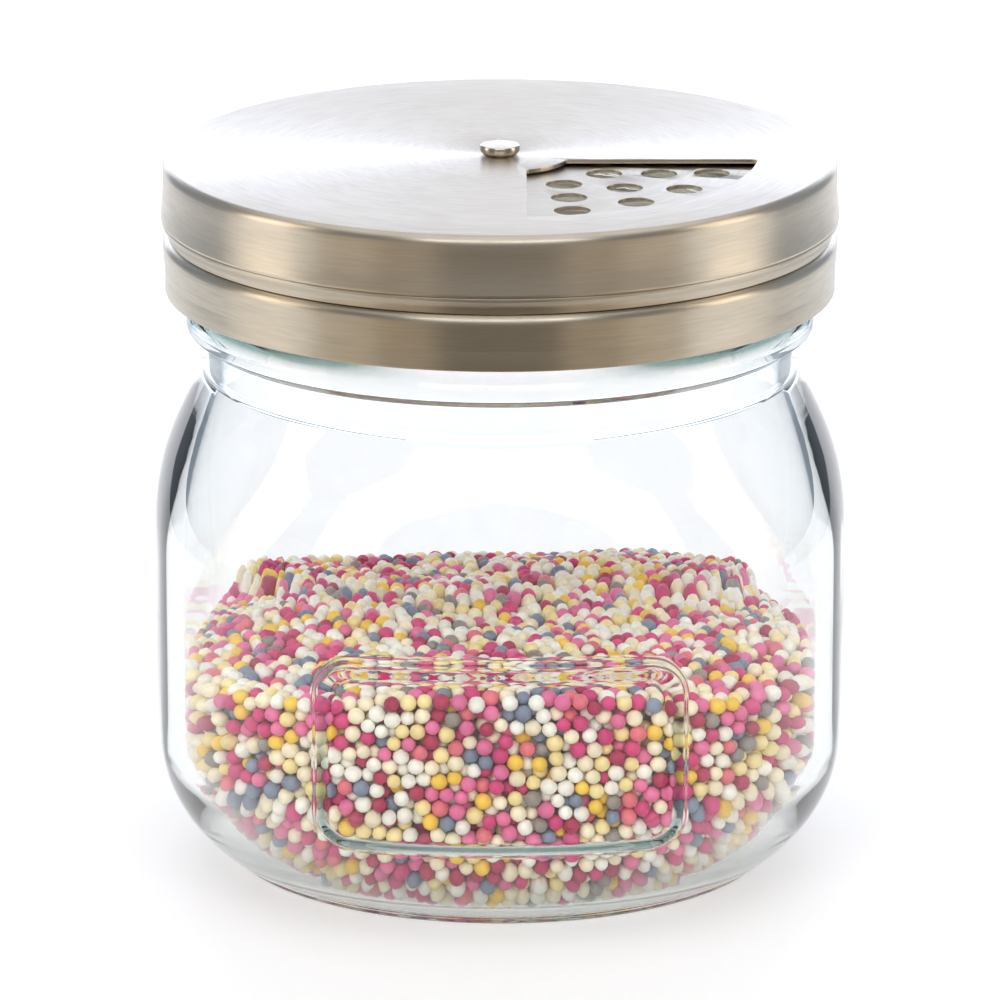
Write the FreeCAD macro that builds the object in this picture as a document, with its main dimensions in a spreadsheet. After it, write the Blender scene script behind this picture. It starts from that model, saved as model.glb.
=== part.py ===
import FreeCAD, Part
import math
import os
import re
import Sketcher

# Glass spice jar with a two-part shaker lid. +Z is up, the front is -Y, and the origin is at the
# middle of the foot, on the table. The jar has a soft-square body and a round threaded neck. The
# screw cap carries a plate with holes, and the selector cover turns over it on the centre rivet.

V = FreeCAD.Vector
UP = V(0, 0, 1)
FULL_TURN = 360

# Driving sizes in millimetres. Those in degrees, turns or counts say so.
SIZES = (
    # Glass body
    ("body_half_width", "42.4", "axis to the middle of a face, outside"),
    ("face_radius", "115", "curve of a face in plan"),
    ("corner_radius", "30", "round of an upright corner in plan"),
    ("wall", "2.9", "glass at the faces"),
    ("floor_thickness", "2.6", "glass from the table to the inside floor"),
    ("floor_radius", "32.5", "flat of the inside floor"),
    ("foot_radius", "34", "outside of the foot ring"),
    ("foot_height", "1.5", "foot ring below the heel"),
    ("foot_land", "4", "width of the flat that the jar stands on"),
    ("foot_edge", "0.8", "round of the foot ring's lower edge"),
    ("foot_step", "1.5", "heel beyond the foot ring"),
    ("push_up", "0.7", "rise of the underside inside the foot ring"),
    ("heel_height", "14.5", "heel from the foot ring to the upright faces"),
    ("face_height", "27", "upright faces"),
    ("shoulder_height", "18", "shoulder from the faces to the neck"),
    # Label panel
    ("panel_width", "45", "raised panel on the front face"),
    ("panel_height", "25", "raised panel, bottom to top"),
    ("panel_bottom", "11", "panel above the table"),
    ("panel_corner", "5", "round of the panel's corners"),
    ("panel_raise", "0.8", "panel proud of the face"),
    # Neck
    ("neck_radius", "37.8", "neck inside the cap, between the threads"),
    ("groove_depth", "1.5", "neck below the bead, set in from the neck inside the cap"),
    ("groove_height", "4.9", "neck between shoulder and bead"),
    ("neck_wall", "2.9", "glass at the groove"),
    ("bead_height", "4.35", "bead below the cap"),
    ("bead_round", "2.7", "round of the bead in section"),
    ("rim_round", "1.4", "both edges of the rim"),
    # Screw thread
    ("thread_pitch", "5", "rise in one turn"),
    ("thread_depth", "1.5", "glass ridge proud of the neck"),
    ("thread_root_width", "2", "ridge at its root"),
    ("thread_crest_width", "0.9", "ridge at its crest"),
    ("thread_clearance", "0.4", "crest of the cap's ridge to the neck"),
    ("thread_sink", "0.4", "ridge let into the wall that carries it"),
    ("glass_thread_turns", "1.25", "turns of the glass ridge"),
    ("cap_thread_turns", "0.5", "turns of the cap's ridge"),
    ("cap_thread_lead", "1.5", "first turn of the cap's ridge above the cap's edge"),
    # Screw cap
    ("cap_sheet", "0.5", "steel of the cap"),
    ("skirt_clearance", "0.3", "inside of the cap to the glass ridge"),
    ("skirt_gap", "0.8", "cap's edge above the bead on the glass"),
    ("cap_flare_height", "2.45", "flared foot of the skirt"),
    ("cap_flare", "0.85", "lower edge of the skirt beyond the upper wall"),
    ("cap_band_height", "2.4", "upright band of the skirt, between flare and bead"),
    ("cap_band_out", "0.5", "that band beyond the upper wall"),
    ("cap_bead_height", "2", "bead round the skirt"),
    ("cap_bead_round", "1.07", "round of that bead in section"),
    ("cap_upper_height", "8.8", "upper wall, hidden by the cover"),
    ("cap_corner", "0.9", "edge between wall and plate"),
    ("coarse_radius", "2.2", "coarse shaker holes"),
    ("coarse_pitch_inner", "29.4", "degrees between the two inner holes"),
    ("coarse_pitch_middle", "23.5", "degrees between the three middle holes"),
    ("coarse_pitch_outer", "19", "degrees between the four outer holes"),
    ("fine_radius", "1", "fine shaker holes"),
    ("fine_spacing", "4.6", "between holes along a row"),
    # Selector cover
    ("cover_sheet", "0.5", "steel of the cover"),
    ("plate_gap", "0.3", "cover above the cap's plate"),
    ("cover_clearance", "0.5", "cover's skirt round the cap's wall"),
    ("cover_gap", "0.2", "cover's edge above the cap's bead"),
    ("cover_flare", "0.3", "widest ring beyond the top of the skirt"),
    ("cover_tuck", "0.15", "lower edge turned in from the top of the skirt"),
    ("cover_tuck_height", "2", "widest ring above the lower edge"),
    ("cover_round", "1.3", "edge between top and skirt, outside"),
    ("window_margin", "3.2", "window's left edge off the centre line"),
    ("window_far_margin", "2.6", "window's far edge off the centre line"),
    ("window_boss", "8.5", "round left about the rivet"),
    ("window_rim", "9.7", "window's outer edge in from the cover's skirt"),
    # Rivet, washer and seal
    ("rivet_radius", "1.5", "shank"),
    ("rivet_clearance", "0.05", "shank in the cover and the cap"),
    ("collar_radius", "1.9", "collar that stands on the cover"),
    ("collar_height", "0.1", "collar under the head"),
    ("knob_foot_radius", "2.1", "head at its lower edge"),
    ("knob_top_radius", "2.35", "head at its top edge"),
    ("knob_height", "1.1", "head from collar to top edge"),
    ("knob_round", "0.9", "barrel round of the head in section"),
    ("knob_crown", "0.1", "dome on the head"),
    ("tail_radius", "2.8", "spread tail under the washer"),
    ("tail_height", "0.8", "spread tail"),
    ("washer_radius", "4.4", "spring washer"),
    ("washer_sheet", "0.35", "spring washer"),
    ("washer_dish", "0.4", "rise of the washer from bore to rim"),
    ("seal_thickness", "1.2", "seal ring"),
    ("seal_clearance", "0.05", "seal ring to rim and plate"),
    ("seal_side_gap", "0.4", "seal ring inside the cap's wall"),
    ("seal_inset", "0.3", "seal ring's bore beyond the neck's"),
    # Sprinkles
    ("fill_depth", "28.2", "crown of the heap above the inside floor"),
    ("fill_tilt", "0.075", "rise of the heap's top towards the front, for each millimetre"),
    ("fill_dome_radius", "300", "curve of the heap's top"),
    ("fill_unevenness", "0.9", "mean hollow in the heap's top, below its dome"),
    ("fill_patch", "7", "distance of the points that shape the heap's top"),
    ("fill_gap", "0.3", "heap to the glass"),
)

# Heights and radii that follow from the driving sizes, each in terms of those above it
DERIVED = (
    ("heel_radius", "foot_radius + foot_step"),
    ("face_start", "foot_height + heel_height"),
    ("shoulder_start", "face_start + face_height"),
    ("shoulder_end", "shoulder_start + shoulder_height"),
    ("inner_half_width", "body_half_width - wall"),
    ("groove_radius", "neck_radius - groove_depth"),
    ("bore_radius", "groove_radius - neck_wall"),
    ("bead_bottom", "shoulder_end + groove_height"),
    ("bead_top", "bead_bottom + bead_height"),
    ("cap_bottom", "bead_top + skirt_gap"),
    ("cap_band_bottom", "cap_bottom + cap_flare_height"),
    ("cap_bead_bottom", "cap_band_bottom + cap_band_height"),
    ("cap_bead_top", "cap_bead_bottom + cap_bead_height"),
    ("plate_top", "cap_bead_top + cap_upper_height"),
    ("plate_under", "plate_top - cap_sheet"),
    ("seal_top", "plate_under - seal_clearance"),
    ("seal_bottom", "seal_top - seal_thickness"),
    ("rim_top", "seal_bottom - seal_clearance"),
    ("cover_under", "plate_top + plate_gap"),
    ("lid_top", "cover_under + cover_sheet"),
    ("cover_bottom", "cap_bead_top + cover_gap"),
    ("crest_radius", "neck_radius + thread_depth"),
    ("cap_inner_radius", "crest_radius + skirt_clearance"),
    ("cap_radius", "cap_inner_radius + cap_sheet"),
    ("cap_crest_radius", "neck_radius + thread_clearance"),
    ("cap_thread_start", "cap_bottom + cap_thread_lead"),
    ("glass_thread_start", "cap_thread_start + thread_pitch / 2"),
    ("cover_radius", "cap_radius + cover_clearance + cover_sheet"),
    ("window_radius", "cover_radius - window_rim"),
    ("hole_radius", "rivet_radius + rivet_clearance"),
    ("collar_bottom", "lid_top + rivet_clearance"),
    ("knob_bottom", "collar_bottom + collar_height"),
    ("knob_top", "knob_bottom + knob_height"),
    ("washer_top", "plate_under - rivet_clearance"),
    ("washer_bottom", "washer_top - washer_dish - washer_sheet"),
    ("tail_top", "washer_bottom - rivet_clearance"),
    ("tail_bottom", "tail_top - tail_height"),
    ("fill_crown", "floor_thickness + fill_depth"),
)

# Shares of the heel's arc and of the shoulder's height at which sections stand
HEEL_SHARES = (0, 0.16, 0.33, 0.5, 0.67, 0.84, 1)
SHOULDER_SHARES = (0, 0.14, 0.3, 0.46, 0.62, 0.78, 0.9, 1)
# Shares of the upright faces' height between the heel and the shoulder
FACE_SHARES = (0.25, 0.5, 0.75)
# Circles of the shaker holes, as shares of the way from the window's boss to its outer edge
COARSE_SHARES = (0.251, 0.5175, 0.782)
FINE_SHARES = (0.2, 0.38, 0.56, 0.74)
# Holes on each of those circles, and the quarter of the plate that they lie in
COARSE_COUNTS = (2, 3, 4)
FINE_COUNTS = (4, 5, 6, 7)
FRONT_RIGHT = FULL_TURN * 7 / 8 + 2.5
BACK_RIGHT = FULL_TURN / 8

# Waves in the heap's top: turns in radians over the jar's half width across and along, the start in
# radians, and the height beside the mean hollow
HEAP_WAVES = ((5.2, 3.1, 0.7, 0.45), (-4.0, 6.3, 2.6, 0.35), (11.0, -7.5, 0.4, 0.25), (6.5, 13.0, 2.2, 0.2))

doc = FreeCAD.newDocument("spice_jar")


def make_sheet():
    """Spreadsheet of the driving sizes, one aliased cell each."""
    sheet = doc.addObject("Spreadsheet::Sheet", "Sizes")
    for row, (alias, value, note) in enumerate(SIZES, start=1):
        sheet.set(f"A{row}", alias)
        sheet.set(f"B{row}", value)
        sheet.set(f"C{row}", note)
        sheet.setAlias(f"B{row}", alias)
    doc.recompute()
    return sheet


sizes = make_sheet()
terms = {alias: f"Sizes.{alias}" for alias, value, note in SIZES}


def spell(text):
    """Expression over the sheet's cells for a sum of named sizes."""
    return re.sub(r"[a-z_]+", lambda word: terms.get(word.group(), word.group()), text)


for derived_name, derived_text in DERIVED:
    terms[derived_name] = f"({spell(derived_text)})"


def val(text):
    """Present value of a sum of named sizes."""
    return float(sizes.evalExpression(spell(text)))


def bind(item, place, text):
    """Tie a property or constraint to the sheet."""
    item.setExpression(place, spell(text))


# Sketches

def sketch_on(body, name, role):
    """New sketch on one of the body's origin planes."""
    sketch = body.newObject("Sketcher::SketchObject", name)
    plane = next(item for item in body.Origin.OriginFeatures if item.Role == role)
    sketch.AttachmentSupport = (plane, [""])
    sketch.MapMode = "FlatFace"
    return sketch


def hold_point(sketch, item, end, across, up):
    """Fix a point of the sketch at two named distances from the origin."""
    for kind, text in (("DistanceX", across), ("DistanceY", up)):
        number = sketch.addConstraint(Sketcher.Constraint(kind, -1, 1, item, end, val(text)))
        bind(sketch, f"Constraints[{number}]", text)


def hold_radius(sketch, item, text):
    """Fix a circle's or an arc's radius."""
    number = sketch.addConstraint(Sketcher.Constraint("Radius", item, val(text)))
    bind(sketch, f"Constraints[{number}]", text)


def arc_between(start, end, radius, left):
    """Short arc from start to end, with its centre on the left or the right of the way."""
    middle = (start + end) / 2
    chord = end - start
    side = V(-chord.y, chord.x, 0).normalize()
    reach = math.sqrt(radius ** 2 - (chord.Length / 2) ** 2)
    centre = middle + side * (reach if left else -reach)
    first, last = (start, end) if left else (end, start)
    angles = [math.atan2(point.y - centre.y, point.x - centre.x) for point in (first, last)]
    return Part.ArcOfCircle(Part.Circle(centre, UP, radius), *angles)


def draw_outline(sketch, corners):
    """Closed outline, anticlockwise. A corner is (across, up), or (across, up, round) where an arc
    of that radius runs on to the next corner; a round with a minus sign is hollow."""
    points = [V(val(corner[0]), val(corner[1]), 0) for corner in corners]
    starts = []
    ends = []
    for number, corner in enumerate(corners):
        start = points[number]
        end = points[(number + 1) % len(points)]
        if len(corner) == 2:
            sketch.addGeometry(Part.LineSegment(start, end))
            hollow = False
        else:
            hollow = corner[2].startswith("-")
            radius = corner[2].lstrip("-")
            sketch.addGeometry(arc_between(start, end, val(radius), not hollow))
            hold_radius(sketch, number, radius)
        starts.append(2 if hollow else 1)
        ends.append(1 if hollow else 2)
    for number, corner in enumerate(corners):
        following = (number + 1) % len(corners)
        joint = Sketcher.Constraint("Coincident", number, ends[number], following, starts[following])
        sketch.addConstraint(joint)
        hold_point(sketch, number, starts[number], corner[0], corner[1])


def turned_body(name, corners):
    """Body of revolution about Z from an outline of (radius, height) corners."""
    body = doc.addObject("PartDesign::Body", name)
    sketch = sketch_on(body, f"{name}_outline", "XZ_Plane")
    draw_outline(sketch, corners)
    turned = body.newObject("PartDesign::Revolution", f"{name}_turned")
    turned.Profile = sketch
    turned.ReferenceAxis = (sketch, ["V_Axis"])
    turned.Angle = FULL_TURN
    sketch.Visibility = False
    doc.recompute()
    return body


def punch(body, sketch, name):
    """Cut a sketch on the XY plane upwards through the body, and make sure that it did."""
    before = body.Shape.Volume
    pocket = body.newObject("PartDesign::Pocket", name)
    pocket.Profile = sketch
    pocket.Type = "ThroughAll"
    pocket.Reversed = True
    doc.recompute()
    if body.Shape.Volume >= before:
        raise RuntimeError(f"{name} cut nothing")


# Soft-square sections of the glass

def around(radius, angle, height=0):
    """Point at an angle about the jar's axis."""
    return V(radius * math.cos(angle), radius * math.sin(angle), height)


def section_wire(height, half_width, square, grow):
    """Section of the body in plan: four face arcs and four corner arcs, tangent to each other.
    square runs from 0, a circle, to 1, the full soft square. grow offsets the full section."""
    flat = val("face_radius") + grow
    corner_full = val("corner_radius") + grow
    face = 1 / ((1 - square) / half_width + square / flat)
    corner = half_width + square * (corner_full - half_width)
    bow = face * (1 - half_width / flat)
    spread = bow + half_width - corner_full
    stride = (math.sqrt(2 * spread ** 2 - bow ** 2) - bow) / 2
    half_face = math.atan2(stride, stride + bow)
    back = square * bow
    tip = square * stride * math.sqrt(2) + corner

    def on_face(out, turn):
        """Point of the face that looks out at one angle, turned about that face's own centre."""
        return around(-back, out, height) + around(face, out + turn)

    edges = []
    for quarter in range(4):
        out = quarter * math.pi / 2
        ahead = out + math.pi / 2
        knuckle = around(tip, (out + ahead) / 2, height)
        start, end = on_face(out, -half_face), on_face(out, half_face)
        edges.append(Part.Arc(start, on_face(out, 0), end).toShape())
        edges.append(Part.Arc(end, knuckle, on_face(ahead, -half_face)).toShape())
    return Part.Wire(edges)


def soft_square_solid(low, foot, body, neck, grow):
    """Solid from its lowest section, of radius foot at height low, through the heel, the upright
    faces of half width body and the shoulder, to the round neck."""
    face_start = val("face_start")
    shoulder_start = val("shoulder_start")
    drop = face_start - low
    inset = body - foot
    heel_round = (drop ** 2 + inset ** 2) / (2 * inset)
    heel_turn = 2 * math.atan2(inset, drop)
    wires = []
    for share in HEEL_SHARES:
        turn = heel_turn * (1 - share)
        height = face_start - heel_round * math.sin(turn)
        half_width = body - heel_round * (1 - math.cos(turn))
        wires.append(section_wire(height, half_width, share ** 2, grow))
    for share in FACE_SHARES:
        height = face_start + (shoulder_start - face_start) * share
        wires.append(section_wire(height, body, 1, grow))
    for share in SHOULDER_SHARES:
        turn = share * math.pi / 2
        height = shoulder_start + (val("shoulder_end") - shoulder_start) * share
        square = math.cos(turn) if share < 1 else 0
        wires.append(section_wire(height, neck + (body - neck) * math.cos(turn), square, grow))
    return Part.makeLoft(wires, True)


def shaped(name, shape):
    """Document object that holds a shape made here."""
    item = doc.addObject("Part::Feature", name)
    item.Shape = shape
    return item


# Threads

def thread_ridge(name, root, crest, start, turns):
    """Ridge of a right-hand thread, swept along a helix from height start; root and crest are the
    radii of its two sides."""
    helix = doc.addObject("Part::Helix", f"{name}_helix")
    bind(helix, "Pitch", "thread_pitch")
    bind(helix, "Height", f"thread_pitch * {turns}")
    bind(helix, "Radius", root)
    bind(helix, "Placement.Base.z", start)
    profile = doc.addObject("Sketcher::SketchObject", f"{name}_profile")
    profile.Placement = FreeCAD.Placement(V(), FreeCAD.Rotation(V(1, 0, 0), FULL_TURN / 4))
    corners = [
        (root, f"{start} - thread_root_width / 2"),
        (crest, f"{start} - thread_crest_width / 2"),
        (crest, f"{start} + thread_crest_width / 2"),
        (root, f"{start} + thread_root_width / 2"),
    ]
    draw_outline(profile, corners)
    ridge = doc.addObject("Part::Sweep", name)
    ridge.Sections = [profile]
    ridge.Spine = (helix, ["Edge1"])
    ridge.Solid = True
    ridge.Frenet = True
    doc.recompute()
    return ridge


# Glass jar

def make_glass_jar():
    """Glass: soft-square body on a foot ring, beaded and threaded neck, raised label panel."""
    body = shaped("body_blank", soft_square_solid(
        val("foot_height"), val("heel_radius"), val("body_half_width"), val("groove_radius"), 0))
    raised = val("panel_raise")
    skin = shaped("panel_skin", soft_square_solid(
        val("foot_height"), val("heel_radius") + raised, val("body_half_width") + raised,
        val("groove_radius") + raised, raised))
    core = shaped("cavity_core", soft_square_solid(
        val("floor_thickness"), val("floor_radius"), val("inner_half_width"), val("bore_radius"),
        -val("wall")))
    foot = turned_body("foot_ring", [
        ("foot_radius - foot_land", "0"),
        ("foot_radius - foot_edge", "0", "foot_edge"),
        ("foot_radius", "foot_edge"),
        ("foot_radius", "foot_height"),
        ("0", "foot_height"),
        ("0", "push_up"),
        ("foot_radius - foot_land - push_up", "push_up"),
    ])
    neck = turned_body("neck_ring", [
        ("bore_radius", "shoulder_end"),
        ("groove_radius", "shoulder_end"),
        ("groove_radius", "bead_bottom", "bead_round"),
        ("neck_radius", "bead_top"),
        ("neck_radius", "rim_top - rim_round", "rim_round"),
        ("neck_radius - rim_round", "rim_top"),
        ("bore_radius + rim_round", "rim_top", "rim_round"),
        ("bore_radius", "rim_top - rim_round"),
    ])
    ridge = thread_ridge("neck_thread", "neck_radius - thread_sink", "crest_radius",
                         "glass_thread_start", "glass_thread_turns")
    panel = doc.addObject("Part::Common", "label_panel")
    panel.Base = skin
    panel.Tool = make_panel_block()
    joined = doc.addObject("Part::MultiFuse", "glass_joined")
    joined.Shapes = [body, foot, neck, ridge, panel]
    jar = doc.addObject("Part::Cut", "glass_jar")
    jar.Base = joined
    jar.Tool = core
    jar.Refine = True
    return jar


def make_panel_block():
    """Upright block behind the label panel's outline, from the middle of the jar out past its front."""
    block = doc.addObject("PartDesign::Body", "panel_block")
    sketch = sketch_on(block, "panel_outline", "XZ_Plane")
    side = "panel_width / 2"
    top = "panel_bottom + panel_height"
    draw_outline(sketch, [
        (f"panel_corner - {side}", "panel_bottom"),
        (f"{side} - panel_corner", "panel_bottom", "panel_corner"),
        (side, "panel_bottom + panel_corner"),
        (side, f"{top} - panel_corner", "panel_corner"),
        (f"{side} - panel_corner", top),
        (f"panel_corner - {side}", top, "panel_corner"),
        (f"0 - {side}", f"{top} - panel_corner"),
        (f"0 - {side}", "panel_bottom + panel_corner", "panel_corner"),
    ])
    pad = block.newObject("PartDesign::Pad", "panel_pad")
    pad.Profile = sketch
    bind(pad, "Length", "body_half_width + panel_raise * 2")
    doc.recompute()
    return block


# Sprinkles

def heap_top(across, along):
    """Height of the heap's uneven top over one place in plan."""
    width = val("body_half_width")
    waves = sum(share * math.sin((turn_x * across + turn_y * along) / width + start)
                for turn_x, turn_y, start, share in HEAP_WAVES)
    dome = val("fill_crown") - (across ** 2 + along ** 2) / (2 * val("fill_dome_radius"))
    return dome - val("fill_unevenness") * (1 + waves) - val("fill_tilt") * along


def heap_block():
    """Block under the heap's top, wider and deeper than the jar's inside."""
    count = math.ceil(val("body_half_width") / val("fill_patch"))
    places = [number * val("fill_patch") for number in range(-count, count + 1)]
    surface = Part.BSplineSurface()
    surface.interpolate([[V(across, along, heap_top(across, along)) for along in places] for across in places])
    return surface.toShape().extrude(UP * (-2 * val("fill_depth")))


def make_sprinkle_fill():
    """Heap of sprinkles, as one solid that stands a little clear of the glass."""
    gap = val("fill_gap")
    core = shaped("fill_core", soft_square_solid(
        val("floor_thickness") + gap, val("floor_radius") - gap, val("inner_half_width") - gap,
        val("bore_radius") - gap, -val("wall") - gap))
    block = shaped("fill_block", heap_block())
    heap = doc.addObject("Part::Common", "sprinkle_fill")
    heap.Base = core
    heap.Tool = block
    return heap


# Screw cap

def row_of_holes(share, count, middle, pitch):
    """Places of a row of holes about one angle. pitch is the angle between them, in degrees, where
    {circle} stands for the row's own circle."""
    circle = f"(window_boss + (window_radius - window_boss) * {share})"
    steps = [place - (count - 1) / 2 for place in range(count)]
    return [(circle, f"{middle} + {pitch.format(circle=circle)} * {step}") for step in steps]


def punch_rows(body, name, radius, places):
    """Punch round holes at places of (circle radius, angle in degrees), both expressions."""
    sketch = sketch_on(body, f"{name}_holes", "XY_Plane")
    for number, (circle, angle) in enumerate(places):
        across = f"{circle} * cos(({angle}) * 1deg)"
        along = f"{circle} * sin(({angle}) * 1deg)"
        centre = V(val(across), val(along), 0)
        sketch.addGeometry(Part.Circle(centre, UP, val(radius)))
        hold_point(sketch, number, 3, across, along)
        hold_radius(sketch, number, radius)
    punch(body, sketch, f"{name}_punched")


def make_screw_cap():
    """Pressed cap: plate with holes, upper wall, bead and flared band, and the thread inside."""
    band = "cap_radius + cap_band_out"
    edge = "cap_radius + cap_flare"
    shell = turned_body("cap_shell", [
        ("hole_radius", "plate_under"),
        ("cap_inner_radius", "plate_under"),
        ("cap_inner_radius", "cap_bead_top", "-cap_bead_round"),
        (f"{band} - cap_sheet", "cap_bead_bottom"),
        (f"{band} - cap_sheet", "cap_band_bottom"),
        (f"{edge} - cap_sheet", "cap_bottom"),
        (edge, "cap_bottom"),
        (band, "cap_band_bottom"),
        (band, "cap_bead_bottom", "cap_bead_round"),
        ("cap_radius", "cap_bead_top"),
        ("cap_radius", "plate_top - cap_corner", "cap_corner"),
        ("cap_radius - cap_corner", "plate_top"),
        ("hole_radius", "plate_top"),
    ])
    coarse = []
    pitches = ("coarse_pitch_inner", "coarse_pitch_middle", "coarse_pitch_outer")
    for share, count, pitch in zip(COARSE_SHARES, COARSE_COUNTS, pitches):
        coarse += row_of_holes(share, count, FRONT_RIGHT, pitch)
    punch_rows(shell, "coarse", "coarse_radius", coarse)
    fine = []
    for share, count in zip(FINE_SHARES, FINE_COUNTS):
        fine += row_of_holes(share, count, BACK_RIGHT, "fine_spacing / {circle} * 180 / pi")
    punch_rows(shell, "fine", "fine_radius", fine)
    ridge = thread_ridge("cap_thread", f"{band} - cap_sheet + thread_sink", "cap_crest_radius",
                         "cap_thread_start", "cap_thread_turns")
    cap = doc.addObject("Part::Fuse", "screw_cap")
    cap.Base = shell
    cap.Tool = ridge
    cap.Refine = True
    return cap


# Selector cover

def make_selector_cover():
    """Pressed cover: round top with a quadrant window, and a skirt that flares a little."""
    widest = "cover_radius + cover_flare"
    edge = "cover_radius - cover_tuck"
    widest_height = "cover_bottom + cover_tuck_height"
    cover = turned_body("selector_cover", [
        ("hole_radius", "cover_under"),
        ("cover_radius - cover_round", "cover_under", "-(cover_round - cover_sheet)"),
        ("cover_radius - cover_sheet", "lid_top - cover_round"),
        (f"{widest} - cover_sheet", widest_height),
        (f"{edge} - cover_sheet", "cover_bottom"),
        (edge, "cover_bottom"),
        (widest, widest_height),
        ("cover_radius", "lid_top - cover_round", "cover_round"),
        ("cover_radius - cover_round", "lid_top"),
        ("hole_radius", "lid_top"),
    ])
    sketch = sketch_on(cover, "window_outline", "XY_Plane")
    draw_outline(sketch, [
        ("window_margin", "0 - sqrt(window_radius ^ 2 - window_margin ^ 2)", "window_radius"),
        ("sqrt(window_radius ^ 2 - window_far_margin ^ 2)", "0 - window_far_margin"),
        ("sqrt(window_boss ^ 2 - window_far_margin ^ 2)", "0 - window_far_margin", "-window_boss"),
        ("window_margin", "0 - sqrt(window_boss ^ 2 - window_margin ^ 2)"),
    ])
    punch(cover, sketch, "window_punched")
    return cover


# Rivet, washer and seal

def make_centre_rivet():
    """Rivet with a barrel-shaped head over the cover, a shank and a spread tail."""
    return turned_body("centre_rivet", [
        ("0", "tail_bottom"),
        ("tail_radius", "tail_bottom"),
        ("tail_radius", "tail_top"),
        ("rivet_radius", "tail_top"),
        ("rivet_radius", "collar_bottom"),
        ("collar_radius", "collar_bottom"),
        ("collar_radius", "knob_bottom"),
        ("knob_foot_radius", "knob_bottom", "knob_round"),
        ("knob_top_radius", "knob_top"),
        ("0", "knob_top + knob_crown"),
    ])


def make_spring_washer():
    """Dished washer between the rivet's tail and the cap's plate."""
    return turned_body("spring_washer", [
        ("hole_radius", "washer_bottom"),
        ("washer_radius", "washer_bottom + washer_dish"),
        ("washer_radius", "washer_top"),
        ("hole_radius", "washer_top - washer_dish"),
    ])


def make_lid_gasket():
    """Flat seal ring between the rim and the cap's plate."""
    outside = "cap_inner_radius - seal_side_gap"
    inside = "bore_radius + seal_inset"
    return turned_body("lid_gasket", [
        (inside, "seal_bottom"),
        (outside, "seal_bottom"),
        (outside, "seal_top"),
        (inside, "seal_top"),
    ])


def check(pieces):
    """Stop unless every object computed and every piece is one valid solid."""
    for item in doc.Objects:
        if "Invalid" in item.State or "Error" in item.State:
            raise RuntimeError(f"{item.Name} did not compute: {item.State}")
    for piece in pieces:
        shape = piece.Shape
        if shape.isNull() or not shape.isValid() or len(shape.Solids) != 1:
            raise RuntimeError(f"{piece.Label} is not one valid solid")


def main():
    """Make every piece, check the document and write one file for each piece."""
    pieces = [
        make_glass_jar(),
        make_sprinkle_fill(),
        make_screw_cap(),
        make_selector_cover(),
        make_centre_rivet(),
        make_spring_washer(),
        make_lid_gasket(),
    ]
    doc.recompute()
    check(pieces)
    os.makedirs("parts", exist_ok=True)
    for piece in pieces:
        piece.Shape.exportStep(f"parts/{piece.Label}.step")
        box = piece.Shape.BoundBox
        print(f"{piece.Label}: {piece.Shape.Volume:.0f} mm3, z {box.ZMin:.2f} to {box.ZMax:.2f}, "
              f"x {box.XMin:.2f} to {box.XMax:.2f}, y {box.YMin:.2f} to {box.YMax:.2f}")


main()
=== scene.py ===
import logging
import math
from dataclasses import dataclass
from enum import Enum
from typing import NamedTuple, Sequence

import bpy
import numpy as np
from mathutils import Euler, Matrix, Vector


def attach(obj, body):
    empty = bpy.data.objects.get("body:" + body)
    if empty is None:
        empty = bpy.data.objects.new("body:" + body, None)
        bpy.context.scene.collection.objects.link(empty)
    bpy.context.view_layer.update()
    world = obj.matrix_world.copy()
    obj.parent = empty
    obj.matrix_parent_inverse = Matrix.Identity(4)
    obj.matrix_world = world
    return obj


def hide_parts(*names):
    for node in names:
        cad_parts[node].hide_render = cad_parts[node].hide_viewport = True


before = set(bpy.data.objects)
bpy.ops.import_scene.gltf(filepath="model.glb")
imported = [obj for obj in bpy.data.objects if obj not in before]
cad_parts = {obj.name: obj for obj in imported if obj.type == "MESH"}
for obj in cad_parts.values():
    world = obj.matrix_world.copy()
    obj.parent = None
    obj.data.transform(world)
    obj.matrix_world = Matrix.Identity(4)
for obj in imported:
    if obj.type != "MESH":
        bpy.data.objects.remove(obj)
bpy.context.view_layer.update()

LOG = logging.getLogger("spice_jar")
MM = 0.001
MERGE_DISTANCE = 1e-6
FRONT = -90.0
FULL_TURN = 360.0
STATION = "station"
# Name of the attribute that says how much painted shade, dark teal, goes into the glass's colour.
PAINTED_SHADE = "painted_shade"
WHITE = (1.0, 1.0, 1.0, 1.0)
WARM = "fff0dc"
COOL = "dfe9ff"
MOST_OF_SIDE = 0.49
PAST_LAST = 1.001
CARD_MOTTLE = 3.0
CARD_DEEPER = 0.8
CARD_ROUGHNESS = 0.9
TINY = 1e-6


class Body(Enum):
    """CAD bodies that the new pieces ride on."""

    JAR = "jar"
    CAP = "cap"
    COVER = "cover"


class Slot(Enum):
    """Material slots of the record, one for each kind of new piece."""

    GLASS = "clear_glass"
    SUGAR = "sugar"
    STEEL = "brushed_steel"


# Modelling steps

class Corner(NamedTuple):
    """Corner of an outline, with the radius of the round on it."""

    across: float
    up: float
    round: float = 0.0


class Span(NamedTuple):
    """Stretch of a spin."""

    angle: float
    steps: int


def smooth_step(value: np.ndarray) -> np.ndarray:
    """Ease from 0 to 1 as value goes from 0 to 1."""
    share = np.clip(value, 0, 1)
    return share * share * (3 - 2 * share)


def polar(radius: float, turn: float) -> tuple[float, float]:
    """Point in plan at a radius and an azimuth in radians."""
    return radius * math.cos(turn), radius * math.sin(turn)


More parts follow.
